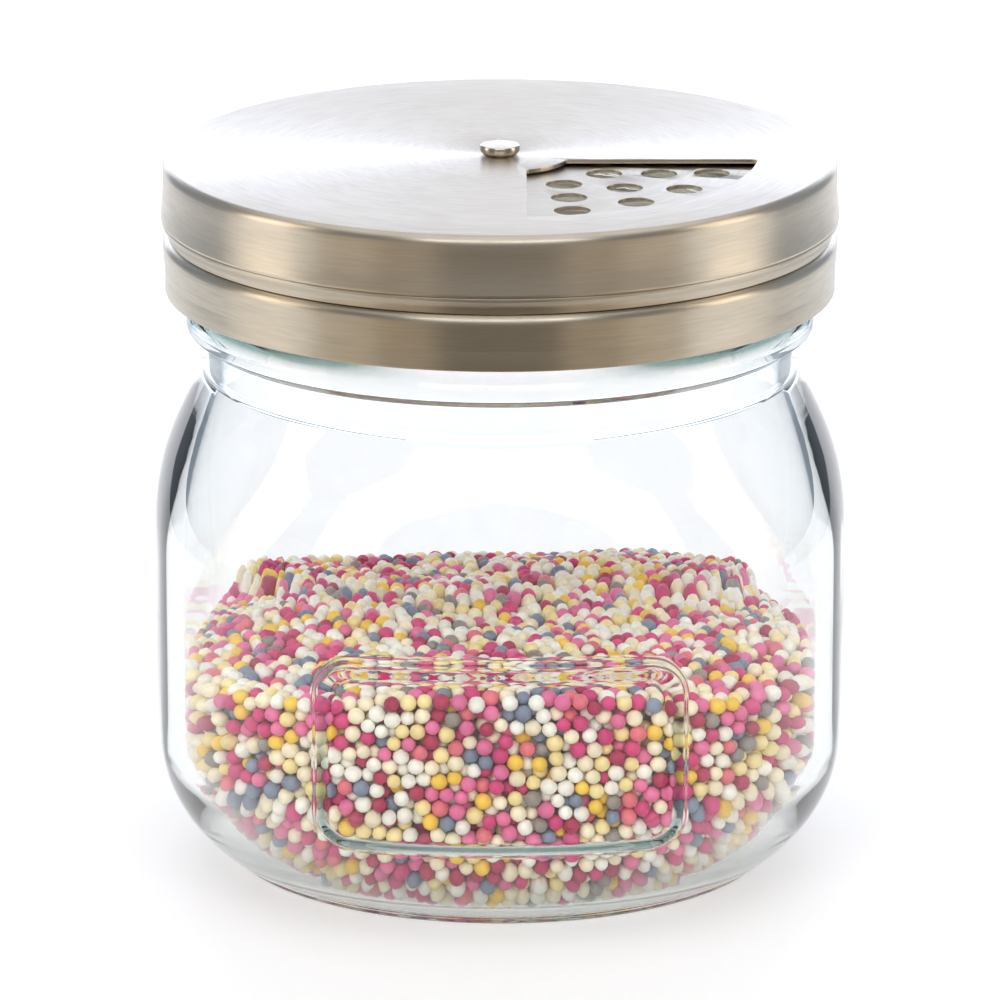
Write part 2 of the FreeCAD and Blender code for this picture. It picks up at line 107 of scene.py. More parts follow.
def rounded(corners: Sequence[Corner], steps: int = 6, closed: bool = True) -> list[tuple[float, float]]:
    """Points of an outline whose corners are rounded, none past the middle of a side.

    Args:
        corners: the outline's corners, in order.
        steps: points on each round, less one.
        closed: whether the last corner runs on to the first.

    Returns:
        The outline's points as (across, up).
    """
    points = []
    count = len(corners)
    for number, corner in enumerate(corners):
        here = Vector((corner.across, corner.up))
        at_end = not closed and number in (0, count - 1)
        if corner.round == 0 or at_end:
            points.append(tuple(here))
            continue
        before = Vector(corners[number - 1][:2]) - here
        after = Vector(corners[(number + 1) % count][:2]) - here
        half = before.angle(after) / 2
        inward = (before.normalized() + after.normalized()).normalized()
        cut = min(corner.round / math.tan(half), before.length * MOST_OF_SIDE, after.length * MOST_OF_SIDE)
        radius = cut * math.tan(half)
        centre = here + inward * (cut / math.cos(half))
        first = here + before.normalized() * cut - centre
        last = here + after.normalized() * cut - centre
        start = math.atan2(first.y, first.x)
        turn = (math.atan2(last.y, last.x) - start + math.pi) % (2 * math.pi) - math.pi
        for step in range(steps + 1):
            angle = start + turn * step / steps
            points.append((centre.x + radius * math.cos(angle), centre.y + radius * math.sin(angle)))
    return points


def bowed(start: tuple[float, float], end: tuple[float, float], rise: float, steps: int) -> list[Corner]:
    """Corners along an arc between two points, both left out.

    Args:
        start: first end of the arc.
        end: last end of the arc.
        rise: greatest distance from the chord, to the right of the way from start to end.
        steps: stretches that the arc is cut into.

    Returns:
        The corners between the two ends.
    """
    way = Vector(end) - Vector(start)
    side = Vector((way.y, -way.x)).normalized()
    half = way.length / 2
    radius = (half ** 2 + rise ** 2) / (2 * rise)
    turn = math.asin(half / radius)
    corners = []
    for step in range(1, steps):
        angle = turn * (2 * step / steps - 1)
        point = (Vector(start) + way * (0.5 + math.sin(angle) * radius / way.length)
                 + side * (rise - radius * (1 - math.cos(angle))))
        corners.append(Corner(point.x, point.y))
    return corners


def deselect_all() -> None:
    """Let go of every object, so that operators act on the new piece alone."""
    bpy.ops.object.select_all(action="DESELECT")


def select_only(piece: bpy.types.Object) -> None:
    """Make one piece the only one that operators act on.

    Args:
        piece: the piece.
    """
    deselect_all()
    piece.select_set(True)
    bpy.context.view_layer.objects.active = piece


def coordinates(piece: bpy.types.Object) -> np.ndarray:
    """Places of a mesh's vertices.

    Args:
        piece: the mesh's object.

    Returns:
        The places in metres, one row each.
    """
    places = np.empty(len(piece.data.vertices) * 3)
    piece.data.vertices.foreach_get("co", places)
    return places.reshape(-1, 3)


def put_coordinates(piece: bpy.types.Object, places: np.ndarray) -> None:
    """Move a mesh's vertices to new places."""
    piece.data.vertices.foreach_set("co", places.ravel())
    piece.data.update()


def stations_of(piece: bpy.types.Object) -> np.ndarray:
    """Place of each vertex of a spun piece in the outline that was spun.

    Args:
        piece: the piece.

    Returns:
        The number of the outline's point, for each vertex.
    """
    number = np.empty(len(piece.data.vertices), dtype=np.int32)
    piece.data.attributes[STATION].data.foreach_get("value", number)
    return number


def loop_of(name: str, points: Sequence[tuple[float, float, float]]) -> bpy.types.Object:
    """Ring of edges through points, as a circle whose vertices are drawn to them.

    Args:
        name: the object's name.
        points: places of the vertices.

    Returns:
        The object, which is active and selected.
    """
    deselect_all()
    bpy.ops.mesh.primitive_circle_add(vertices=len(points), radius=MM)
    piece = bpy.context.object
    piece.name = name
    put_coordinates(piece, np.array(points) * MM)
    return piece


def spun(name: str, outline: Sequence[tuple[float, float]], spans: Sequence[Span], start: float = 0.0,
         closed: bool = True) -> bpy.types.Object:
    """Piece spun about the jar's axis, anticlockwise from above.

    Args:
        name: the piece's name.
        outline: points as (radius, height).
        spans: stretches of the spin, in order, which make a full turn.
        start: azimuth where the spin starts.
        closed: False where the outline's first and last points lie on the axis.

    Returns:
        The piece, closed and with its faces outwards. The attribute station has each vertex's
        place in the outline.
    """
    azimuth = math.radians(start)
    points = [(radius * math.cos(azimuth), radius * math.sin(azimuth), up) for radius, up in outline]
    piece = loop_of(name, points)
    station = piece.data.attributes.new(STATION, "INT", "POINT")
    station.data.foreach_set("value", np.arange(len(points), dtype=np.int32))
    bpy.ops.object.mode_set(mode="EDIT")
    if not closed:
        bpy.ops.mesh.select_mode(type="EDGE")
        bpy.ops.mesh.select_all(action="DESELECT")
        bpy.ops.object.mode_set(mode="OBJECT")
        for edge in piece.data.edges:
            edge.select = set(edge.vertices) == {0, len(points) - 1}
        bpy.ops.object.mode_set(mode="EDIT")
        bpy.ops.mesh.delete(type="EDGE")
        bpy.ops.mesh.select_mode(type="VERT")
    bpy.ops.mesh.select_all(action="SELECT")
    for span in spans:
        bpy.ops.mesh.spin(steps=span.steps, angle=math.radians(span.angle), axis=(0, 0, -1))
    bpy.ops.mesh.select_all(action="SELECT")
    bpy.ops.mesh.remove_doubles(threshold=MERGE_DISTANCE)
    bpy.ops.mesh.normals_make_consistent(inside=False)
    bpy.ops.object.mode_set(mode="OBJECT")
    return piece


def prism(name: str, outline: Sequence[tuple[float, float]], low: float, high: float) -> bpy.types.Object:
    """Upright punch with an outline in plan.

    Args:
        name: the punch's name.
        outline: points as (x, y).
        low: height of its lower end.
        high: height of its upper end.

    Returns:
        The punch.
    """
    punch = loop_of(name, [(across, along, low) for across, along in outline])
    bpy.ops.object.mode_set(mode="EDIT")
    bpy.ops.mesh.select_all(action="SELECT")
    bpy.ops.mesh.edge_face_add()
    bpy.ops.mesh.extrude_region_move(TRANSFORM_OT_translate={"value": (0, 0, (high - low) * MM)})
    bpy.ops.mesh.select_all(action="SELECT")
    bpy.ops.mesh.normals_make_consistent(inside=False)
    bpy.ops.object.mode_set(mode="OBJECT")
    return punch


def apply_modifier(piece: bpy.types.Object, kind: str, **settings: object) -> None:
    """Add a modifier to a piece and apply it.

    Args:
        piece: the piece.
        kind: the modifier's type.
        settings: its settings.
    """
    select_only(piece)
    modifier = piece.modifiers.new(kind.title(), kind)
    for name, value in settings.items():
        setattr(modifier, name, value)
    bpy.ops.object.modifier_apply(modifier=modifier.name)


def punch_out(piece: bpy.types.Object, punches: Sequence[bpy.types.Object]) -> None:
    """Cut punches out of a piece and throw them away.

    Args:
        piece: the piece to cut.
        punches: closed meshes that don't meet each other.
    """
    deselect_all()
    for punch in punches:
        punch.select_set(True)
    bpy.context.view_layer.objects.active = punches[0]
    if len(punches) > 1:
        bpy.ops.object.join()
    tool = bpy.context.object
    apply_modifier(piece, "BOOLEAN", operation="DIFFERENCE", solver="EXACT", object=tool)
    bpy.data.objects.remove(tool)


def shade(piece: bpy.types.Object, angle: float = 35.0) -> None:
    """Shade a piece smooth, apart from edges sharper than an angle."""
    select_only(piece)
    bpy.ops.object.shade_smooth_by_angle(angle=math.radians(angle))


def place(piece: bpy.types.Object, body: Body, slot: Slot, *nodes: str) -> None:
    """Let a piece ride on its body and stand for CAD nodes.

    Args:
        piece: the finished piece.
        body: the body that carries it.
        slot: the record's material slot; not used.
        nodes: CAD nodes that it stands for.
    """
    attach(piece, body.value)
    if nodes:
        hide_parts(*nodes)
    LOG.info("%s: %d vertices, rides on %s", piece.name, len(piece.data.vertices), body.value)


# Finishes

def linear(code: str) -> tuple[float, float, float, float]:
    """Linear colour of a screen colour, written as six hexadecimal digits."""
    shares = [int(code[place:place + 2], 16) / 255 for place in (0, 2, 4)]
    return (*[((s + 0.055) / 1.055) ** 2.4 if s > 0.04045 else s / 12.92 for s in shares], 1.0)


def toned(colour: tuple, gain: float, lift: float = 0.0) -> tuple[float, float, float, float]:
    """Paler or deeper tone of a linear colour."""
    return (*[min(1.0, share * gain + lift) for share in colour[:3]], 1.0)


class Recipe:
    """Node tree of one material."""

    def __init__(self, name: str) -> None:
        """Start a material with a principled shader on its output.

        Args:
            name: the material's name.
        """
        self.material = bpy.data.materials.new(name)
        self.material.use_nodes = True
        self.tree = self.material.node_tree
        self.tree.nodes.clear()
        self.output = self.add("OutputMaterial")
        self.shader = self.add("BsdfPrincipled")
        self.link(self.shader.outputs["BSDF"], self.output.inputs["Surface"])

    def add(self, kind: str, **settings: object) -> bpy.types.Node:
        """Add a shader node.

        Args:
            kind: the node's type, without its prefix.
            settings: its properties.

        Returns:
            The node.
        """
        node = self.tree.nodes.new(f"ShaderNode{kind}")
        for name, value in settings.items():
            setattr(node, name, value)
        return node

    def link(self, source: bpy.types.NodeSocket, target: bpy.types.NodeSocket) -> None:
        """Join two sockets."""
        self.tree.links.new(source, target)

    def set(self, **values: object) -> None:
        """Set the shader's own sockets, with _ for a space in their names."""
        for name, value in values.items():
            self.shader.inputs[name.replace("_", " ")].default_value = value

    def places(self) -> bpy.types.NodeSocket:
        """Places on the piece, in the shared frame."""
        return self.add("TexCoord").outputs["Object"]

    def math(self, operation: str, first: object, second: object = 0.0) -> bpy.types.NodeSocket:
        """Sum of two numbers or sockets.

        Args:
            operation: the kind of sum.
            first: a number or a socket.
            second: a number or a socket.

        Returns:
            The result's socket.
        """
        node = self.add("Math", operation=operation)
        for socket, value in zip(node.inputs, (first, second)):
            if isinstance(value, bpy.types.NodeSocket):
                self.link(value, socket)
            else:
                socket.default_value = value
        return node.outputs["Value"]

    def noise(self, vector: bpy.types.NodeSocket, scale: float, detail: float = 2.0) -> bpy.types.NodeSocket:
        """Soft noise.

        Args:
            vector: where it is read.
            scale: repeats to the metre.
            detail: octaves.

        Returns:
            The noise, from 0 to 1.
        """
        node = self.add("TexNoise")
        node.inputs["Scale"].default_value = scale
        node.inputs["Detail"].default_value = detail
        self.link(vector, node.inputs["Vector"])
        return node.outputs["Fac"]

    def ramp(self, factor: bpy.types.NodeSocket, low: tuple, high: tuple, start: float = 0.3,
             end: float = 0.7, last: tuple | None = None) -> bpy.types.NodeSocket:
        """Colour between two or three, by a factor.

        Args:
            factor: from 0 to 1.
            low: colour at start and below.
            high: colour at end and above.
            start: factor where the first colour ends.
            end: factor where the second begins.
            last: colour at 1, if there is a third.

        Returns:
            The colour's socket.
        """
        node = self.add("ValToRGB")
        for element, colour, position in zip(node.color_ramp.elements, (low, high), (start, end)):
            element.color = colour
            element.position = position
        if last is not None:
            node.color_ramp.elements.new(1.0).color = last
        self.link(factor, node.inputs["Fac"])
        return node.outputs["Color"]

    def spread(self, factor: bpy.types.NodeSocket, low: float, high: float) -> bpy.types.NodeSocket:
        """Number between two, by a factor.

        Args:
            factor: from 0 to 1.
            low: number at 0.
            high: number at 1.

        Returns:
            The number's socket.
        """
        node = self.add("MapRange")
        node.inputs["To Min"].default_value = low
        node.inputs["To Max"].default_value = high
        self.link(factor, node.inputs["Value"])
        return node.outputs["Result"]

    def bump(self, height: bpy.types.NodeSocket, strength: float, distance: float) -> None:
        """Roughen the shader's normal.

        Args:
            height: relief, from 0 to 1.
            strength: share of the relief that shows.
            distance: height of the relief, in metres.
        """
        node = self.add("Bump")
        node.inputs["Strength"].default_value = strength
        node.inputs["Distance"].default_value = distance
        self.link(height, node.inputs["Height"])
        self.link(node.outputs["Normal"], self.shader.inputs["Normal"])


@dataclass(frozen=True)
class GlassFinish:
    """Clear pressed glass, faintly green through its thickness, with painted shade mixed into its colour."""

    name: str
    tint: str = "b9d8cd"
    # Colours of the painted shade mixed into the glass: teal, then a nearly black green.
    painted_edge_shade: str = "5d7d77"
    deep_painted_shade: str = "10291c"
    edge_share: float = 0.5
    density: float = 16.0
    ior: float = 1.5
    wave_scale: float = 55.0
    wave_detail: float = 1.0
    wave_strength: float = 0.35
    wave_height: float = 0.00006

    def material(self) -> bpy.types.Material:
        """Mix the glass, with slow waves in its surface and painted shade, teal to nearly black, where its
        attribute asks.

        Returns:
            The material.
        """
        recipe = Recipe(self.name)
        recipe.set(Roughness=0.0, IOR=self.ior, Transmission_Weight=1.0)
        # Painted shade: the attribute mixes teal and nearly black green into the glass's colour, for the dark
        # seen through the glass from shaded balls and from under the lid.
        painted_shade = recipe.add("Attribute", attribute_name=PAINTED_SHADE).outputs["Fac"]
        edge, deep = linear(self.painted_edge_shade), linear(self.deep_painted_shade)
        tone = recipe.ramp(painted_shade, WHITE, edge, start=0.0, end=self.edge_share, last=deep)
        recipe.link(tone, recipe.shader.inputs["Base Color"])
        waves = recipe.noise(recipe.places(), self.wave_scale, self.wave_detail)
        recipe.bump(waves, self.wave_strength, self.wave_height)
        volume = recipe.add("VolumeAbsorption")
        volume.inputs["Color"].default_value = linear(self.tint)
        volume.inputs["Density"].default_value = self.density
        recipe.link(volume.outputs["Volume"], recipe.output.inputs["Volume"])
        return recipe.material


@dataclass(frozen=True)
class BrushedSteel:
    """Stainless steel with fine brushing round the jar's axis."""

    name: str
    light: str
    dark: str
    roughness: float = 0.3
    streaks: float = 3800.0
    dashes: float = 9.0
    streak_detail: float = 3.0
    streak_strength: float = 0.12
    streak_height: float = 0.00003
    rougher: float = 0.1
    smoother: float = 0.06
    anisotropy: float = 0.75
    quarter_turn: float = 0.25

    def material(self) -> bpy.types.Material:
        """Mix the steel. Its streaks run round the axis, fine across and long along the way, and
        highlights run across them.

        Returns:
            The material.
        """
        recipe = Recipe(self.name)
        parts = recipe.add("SeparateXYZ")
        recipe.link(recipe.places(), parts.inputs["Vector"])
        x, y, z = (parts.outputs[axis] for axis in "XYZ")
        squares = [recipe.math("MULTIPLY", axis, axis) for axis in (x, y)]
        radius = recipe.math("SQRT", recipe.math("ADD", *squares))
        lines = recipe.add("CombineXYZ")
        recipe.link(recipe.math("MULTIPLY", radius, self.streaks), lines.inputs["X"])
        for axis, target in ((x, "Y"), (y, "Z")):
            way = recipe.math("DIVIDE", axis, radius)
            recipe.link(recipe.math("MULTIPLY", way, self.dashes), lines.inputs[target])
        brushing = recipe.add("TexNoise", noise_dimensions="4D")
        brushing.inputs["Scale"].default_value = 1.0
        brushing.inputs["Detail"].default_value = self.streak_detail
        recipe.link(lines.outputs["Vector"], brushing.inputs["Vector"])
        recipe.link(recipe.math("MULTIPLY", z, self.streaks), brushing.inputs["W"])
        streak = brushing.outputs["Fac"]
        tone = recipe.ramp(streak, linear(self.dark), linear(self.light))
        recipe.link(tone, recipe.shader.inputs["Base Color"])
        rough = recipe.spread(streak, self.roughness + self.rougher, self.roughness - self.smoother)
        recipe.link(rough, recipe.shader.inputs["Roughness"])
        recipe.set(Metallic=1.0, Anisotropic=self.anisotropy, Anisotropic_Rotation=self.quarter_turn)
        tangent = recipe.add("Tangent", direction_type="RADIAL", axis="Z")
        recipe.link(tangent.outputs["Tangent"], recipe.shader.inputs["Tangent"])
        recipe.bump(streak, self.streak_strength, self.streak_height)
        return recipe.material


@dataclass(frozen=True)
class SugarFinish:
    """Matte sugar with a fine grain, a little uneven in colour."""

    name: str
    colour: str
    grain: float = 5200.0
    grain_strength: float = 0.25
    grain_height: float = 0.00006
    mottle: float = 420.0
    mottle_detail: float = 3.0
    deeper: float = 0.84
    paler: float = 1.08
    paler_lift: float = 0.02
    smooth: float = 0.42
    rough: float = 0.7
    specular: float = 0.35
    ior: float = 1.5

    def material(self) -> bpy.types.Material:
        """Mix the sugar of one colour.

        Returns:
            The material.
        """
        recipe = Recipe(self.name)
        here = recipe.places()
        base = linear(self.colour)
        mottle = recipe.noise(here, self.mottle, self.mottle_detail)
        tone = recipe.ramp(mottle, toned(base, self.deeper), toned(base, self.paler, self.paler_lift))
        recipe.link(tone, recipe.shader.inputs["Base Color"])
        grain = recipe.noise(here, self.grain)
        recipe.link(recipe.spread(grain, self.smooth, self.rough), recipe.shader.inputs["Roughness"])
        recipe.set(Specular_IOR_Level=self.specular, IOR=self.ior)
        recipe.bump(grain, self.grain_strength, self.grain_height)
        return recipe.material


@dataclass(frozen=True)
class RubberFinish:
    """Pale matte seal rubber."""

    name: str
    colour: str = "e6e4dc"
    deeper: float = 0.86
    grain: float = 1800.0
    grain_detail: float = 3.0
    grain_strength: float = 0.2
    grain_height: float = 0.00005
    smooth: float = 0.5
    rough: float = 0.7

    def material(self) -> bpy.types.Material:
        """Mix the rubber, with a faint grain.

        Returns:
            The material.
        """
        recipe = Recipe(self.name)
        grain = recipe.noise(recipe.places(), self.grain, self.grain_detail)
        base = linear(self.colour)
        recipe.link(recipe.ramp(grain, toned(base, self.deeper), base), recipe.shader.inputs["Base Color"])
        recipe.link(recipe.spread(grain, self.smooth, self.rough), recipe.shader.inputs["Roughness"])
        recipe.bump(grain, self.grain_strength, self.grain_height)
        return recipe.material


# Glass

class Zone(Enum):
    """Parts of the glass's outline."""

    FOOT = 0
    BODY = 1
    NECK = 2
    INSIDE = 3


class Station(NamedTuple):
    """One level of the glass: half width, height, squareness in plan, offset of its plan and zone."""

    half_width: float
    height: float
    square: float
    grow: float
    zone: Zone


@dataclass
class GlassJar:
    """Pressed glass jar: soft-square body on a foot ring, round neck, label panel."""

    body_half_width: float = 42.4
    face_radius: float = 115.0
    corner_radius: float = 30.0
    wall: float = 2.9
    floor_thickness: float = 2.6
    floor_radius: float = 32.5
    foot_radius: float = 34.0
    foot_height: float = 1.5
    foot_land: float = 4.0
    foot_edge: float = 0.8
    heel_radius: float = 35.5
    push_up: float = 0.7
    underside_ring: float = 0.5
    floor_rings: tuple[float, ...] = (0.75, 0.5, 0.25, 0.0)
    face_start: float = 16.0
    heel_blend: float = 2.6
    blend_spots: int = 11
    blend_weight: float = 1.1
    # Painted shade in the heel, fading out upwards below the panel.
    heel_shade: float = 0.2
    heel_shade_gap: float = 1.0
    heel_shade_fade: float = 6.0
    shoulder_start: float = 43.0
    shoulder_end: float = 61.0
    groove_radius: float = 36.3
    groove_flare: float = 0.3
    groove_rise: float = 0.9
    bore_radius: float = 33.4
    bead_bottom: float = 65.7
    bead_top: float = 70.3
    bead_radius: float = 38.4
    bead_undercut: float = 0.1
    bead_lower_edge: float = 0.9
    bead_upper_edge: float = 2.3
    waist_radius: float = 37.1
    neck_radius: float = 37.8
    neck_step: float = 1.3
    neck_foot: float = 2.0
    neck_row: float = 0.5
    bore_rows: int = 18
    # Ring of painted shade at the top of the neck's bead, strongest at the sides.
    edge_ring_below: float = 2.0
    edge_ring_above: float = 1.0
    edge_ring_rise: float = 0.5
    edge_ring_fall: float = 0.8
    edge_ring_from: float = 0.2
    edge_ring_spread: float = 0.5
    rim_top: float = 84.9
    rim_round: float = 1.4
    thread_start: float = 75.05
    thread_pitch: float = 5.0
    thread_depth: float = 1.5
    thread_root: float = 2.0
    thread_crest: float = 0.9
    thread_turns: float = 1.25
    thread_run_out: float = 0.06
    panel_width: float = 45.0
    panel_height: float = 25.0
    panel_bottom: float = 11.0
    panel_corner: float = 5.0
    panel_raise: float = 0.8
    ridge_out: float = 0.9
    ridge_in: float = 1.1
    ridge_brow: float = 2.6
    ridge_fall: float = 0.85
    ridge_upright: float = 0.8
    # Painted shade on the panel ridge's inner slopes, more near the foot.
    ridge_shade: float = 0.4
    ridge_low_shade: float = 0.1
    ridge_low_top: float = 12.0
    ridge_low_fade: float = 9.0
    ridge_shade_power: float = 0.7
    lip_below: float = 0.4
    lip_above: float = 2.6
    fine_high: float = 57.5
    fine_row: float = 0.36
    coarse_row: float = 1.1
    least_row: float = 0.5
    heel_rows: int = 22
    shoulder_rows: int = 6
    inner_heel_rows: int = 21
    inner_heel_crowd: float = 1.7
    middle_half_angle: float = 25.8
    edge_half_angle: float = 30.2
    front_half_angle: float = 37.0
    middle_steps: int = 104
    edge_steps: int = 20
    side_steps: int = 12
    back_steps: int = 112
    front_sine: float = 0.7
    crease: float = 50.0

    def reach(self, azimuth: np.ndarray, half_width: np.ndarray, square: np.ndarray,
              grow: np.ndarray) -> np.ndarray:
        """Distance of the glass from the axis, in plan.

        Args:
            azimuth: direction, in radians.
            half_width: axis to the middle of a face.
            square: from 0, a circle, to 1, the full soft square.
            grow: offset of the full section.

        Returns:
            The distance for each direction.
        """
        flat = self.face_radius + grow
        corner_full = self.corner_radius + grow
        width = np.maximum(half_width, TINY)
        face = 1 / ((1 - square) / width + square / flat)
        corner = width + square * (corner_full - width)
        bow = face * (1 - width / flat)
        spread = bow + width - corner_full
        stride = (np.sqrt(np.maximum(2 * spread ** 2 - bow ** 2, 0)) - bow) / 2
        half_face = np.arctan2(stride, stride + bow)
        back = square * bow
        knuckle = square * stride * math.sqrt(2)
        off_face = np.abs((azimuth + math.pi / 4) % (math.pi / 2) - math.pi / 4)
        join = np.arctan2(face * np.sin(half_face), face * np.cos(half_face) - back)
        on_face = np.sqrt(face ** 2 - (back * np.sin(off_face)) ** 2) - back * np.cos(off_face)
        off_diagonal = math.pi / 4 - off_face
        inside = np.maximum(corner ** 2 - (knuckle * np.sin(off_diagonal)) ** 2, 0)
        on_corner = knuckle * np.cos(off_diagonal) + np.sqrt(inside)
        soft = np.where(off_face <= join, on_face, on_corner)
        return np.where(square > 0, soft, half_width)

    def wall_levels(self, low: float, foot: float, body: float, neck: float,
                    heights: np.ndarray) -> np.ndarray:
        """Levels of one wall from the foot to the neck, blended where the heel meets the faces.

        Args:
            low: height of the lowest level.
            foot: radius of the lowest level.
            body: half width of the upright faces.
            neck: radius of the neck.
            heights: the levels' heights, from low to the shoulder's end.

        Returns:
            Rows of (half width, height, squareness).
        """
        drop = self.face_start - low
        inset = body - foot
        heel_round = (drop ** 2 + inset ** 2) / (2 * inset)
        heel_turn = 2 * math.atan2(inset, drop)
        blend = np.minimum(self.heel_blend, np.minimum(heights - low, self.shoulder_end - heights))
        steps = np.linspace(-1, 1, self.blend_spots)
        spots = heights + steps[:, None] * blend
        turn = np.arcsin(np.clip((self.face_start - spots) / heel_round, 0, math.sin(heel_turn)))
        share = np.clip((spots - self.shoulder_start) / (self.shoulder_end - self.shoulder_start), 0, 1)
        fall = np.where(share < 1, np.cos(share * math.pi / 2), 0)
        half_width = np.where(spots < self.face_start, body - heel_round * (1 - np.cos(turn)),
                              neck + (body - neck) * fall)
        square = np.where(spots < self.face_start, (1 - turn / heel_turn) ** 2, fall)
        weights = self.blend_weight - np.abs(steps)
        half_width, square = (np.average(value, axis=0, weights=weights) for value in (half_width, square))
        return np.stack([half_width, heights, square], axis=1)

    def outer_heights(self) -> np.ndarray:
        """Heights of the outside levels, close together over the panel.

        Returns:
            The heights, from the foot to the shoulder's end.
        """
        lip_start = self.panel_bottom - self.lip_below
        low = np.linspace(self.foot_height, lip_start, self.heel_rows)[:-1]
        lip = np.arange(lip_start, self.panel_bottom + self.lip_above, self.fine_row / 2)
        front = np.arange(lip[-1] + self.fine_row, self.fine_high, self.fine_row)
        high = np.linspace(self.fine_high, self.shoulder_end, self.shoulder_rows)
        return np.concatenate([low, lip, front, high])

    def inner_heights(self, low: float) -> np.ndarray:
        """Heights of levels inside, closer together towards the floor.

        Args:
            low: height of the floor.

        Returns:
            The heights, from the floor to the shoulder's end.
        """
        shares = np.linspace(0, 1, self.inner_heel_rows)[:-1] ** self.inner_heel_crowd
        heel = low + (self.face_start - low) * shares
        upright = np.arange(self.face_start, self.shoulder_end - self.least_row, self.coarse_row)
        return np.concatenate([heel, upright, [self.shoulder_end]])

    def stations(self) -> list[Station]:
        """Levels of the glass from the middle of the underside, up outside and down inside.

        Returns:
            The levels, in order.
        """
        inner_land = self.foot_radius - self.foot_land
        underside = rounded([
            Corner(0, self.push_up),
            Corner(inner_land * self.underside_ring, self.push_up),
            Corner(inner_land - self.push_up, self.push_up, round=0.8),
            Corner(inner_land, 0, round=0.5),
            Corner(self.foot_radius, 0, round=self.foot_edge),
            Corner(self.foot_radius, self.foot_height, round=0.3),
            Corner(self.heel_radius, self.foot_height),
        ], closed=False)
        levels = [Station(across, up, 0.0, 0.0, Zone.FOOT) for across, up in underside[:-1]]
        outside = self.wall_levels(self.foot_height, self.heel_radius, self.body_half_width,
                                   self.groove_radius, self.outer_heights())
        levels += [Station(*row, 0.0, Zone.BODY) for row in outside]
        levels += [Station(across, up, 0.0, 0.0, Zone.NECK) for across, up in self.neck_outline()]
        inside = self.wall_levels(self.floor_thickness, self.floor_radius, self.body_half_width - self.wall,
                                  self.bore_radius, self.inner_heights(self.floor_thickness))
        levels += [Station(*row, -self.wall, Zone.INSIDE) for row in inside[::-1]]
        for share in self.floor_rings:
            levels.append(Station(self.floor_radius * share, self.floor_thickness, 0.0, 0.0, Zone.INSIDE))
        return levels

    def neck_outline(self) -> list[tuple[float, float]]:
        """Points of the neck from the groove, over the bead and the rim, down to the bore's foot.

        Returns:
            The points as (radius, height).
        """
        rim_start = self.rim_top - 2 * self.rim_round
        collar = rounded([
            Corner(self.groove_radius, self.shoulder_end),
            Corner(self.groove_radius + self.groove_flare, self.shoulder_end + self.groove_rise, round=1.6),
            Corner(self.waist_radius - self.bead_undercut, self.bead_bottom, round=0.35),
            Corner(self.bead_radius, self.bead_bottom + self.bead_lower_edge, round=0.6),
            Corner(self.bead_radius, self.bead_bottom + self.bead_upper_edge, round=1.0),
            Corner(self.waist_radius, self.bead_top, round=0.6),
            Corner(self.neck_radius, self.bead_top + self.neck_step, round=0.6),
            Corner(self.neck_radius, self.bead_top + self.neck_foot),
        ], closed=False)[1:]
        heights = np.arange(self.bead_top + self.neck_foot + self.neck_row, rim_start, self.neck_row)
        rim = rounded([
            Corner(self.neck_radius, rim_start),
            Corner(self.neck_radius, self.rim_top, self.rim_round),
            Corner(self.bore_radius, self.rim_top, self.rim_round),
            Corner(self.bore_radius, rim_start),
        ], closed=False)[1:-1]
        bore = np.linspace(rim_start, self.shoulder_end, self.bore_rows)[:-1]
        return (collar + [(self.neck_radius, height) for height in heights] + rim
                + [(self.bore_radius, height) for height in bore])

    def panel_form(self, across: np.ndarray, up: np.ndarray) -> tuple[np.ndarray, np.ndarray]:
        """Form of the label panel: a ridge all round, with a long brow at its top.

        Args:
            across: distance from the middle of the front face.
            up: height above the table.

        Returns:
            The share of the panel's rise at each point, 0 beside the panel and 1 on its ridge, and
            how much shade is painted into the glass there, most where the ridge falls steeply inwards near
            the foot.
        """
        middle = self.panel_bottom + self.panel_height / 2
        reach_across = np.abs(across) - self.panel_width / 2 + self.panel_corner
        reach_up = np.abs(up - middle) - self.panel_height / 2 + self.panel_corner
        outside = np.hypot(np.maximum(reach_across, 0), np.maximum(reach_up, 0))
        within = self.panel_corner - outside - np.minimum(np.maximum(reach_across, reach_up), 0)
        brow_share = smooth_step((up - middle) / (self.panel_height / 2))
        slope = self.ridge_in + (self.ridge_brow - self.ridge_in) * brow_share
        way = np.clip((within - self.ridge_out) / slope, 0, 1)
        fall = 1 - self.ridge_fall * (0.5 * way + 0.5 * smooth_step(way))
        low = smooth_step((self.panel_bottom + self.ridge_low_top - up) / self.ridge_low_fade)
        # Painted shade: most on the ridge's steep inner slope, more near the foot, none under the brow.
        steepest = (4 * way * (1 - way)) ** self.ridge_shade_power
        painted_shade = steepest * (self.ridge_shade + self.ridge_low_shade * low) * (1 - brow_share)
        return smooth_step(within / self.ridge_out) * fall, painted_shade

    def thread_relief(self, azimuth: np.ndarray, up: np.ndarray) -> np.ndarray:
        """Height of the right-hand thread ridge on the neck.

        Args:
            azimuth: direction, in radians.
            up: height above the table.

        Returns:
            The relief at each point.
        """
        relief = np.zeros_like(up)
        turn = azimuth % (2 * math.pi) / (2 * math.pi)
        for lap in range(2):
            travel = turn + lap
            centre = self.thread_start + self.thread_pitch * travel
            flank = (self.thread_root - self.thread_crest) / 2
            ridge = smooth_step((self.thread_root / 2 - np.abs(up - centre)) / flank)
            ends = smooth_step(travel / self.thread_run_out)
            ends *= smooth_step((self.thread_turns - travel) / self.thread_run_out)
            relief = np.maximum(relief, self.thread_depth * ridge * ends)
        return relief

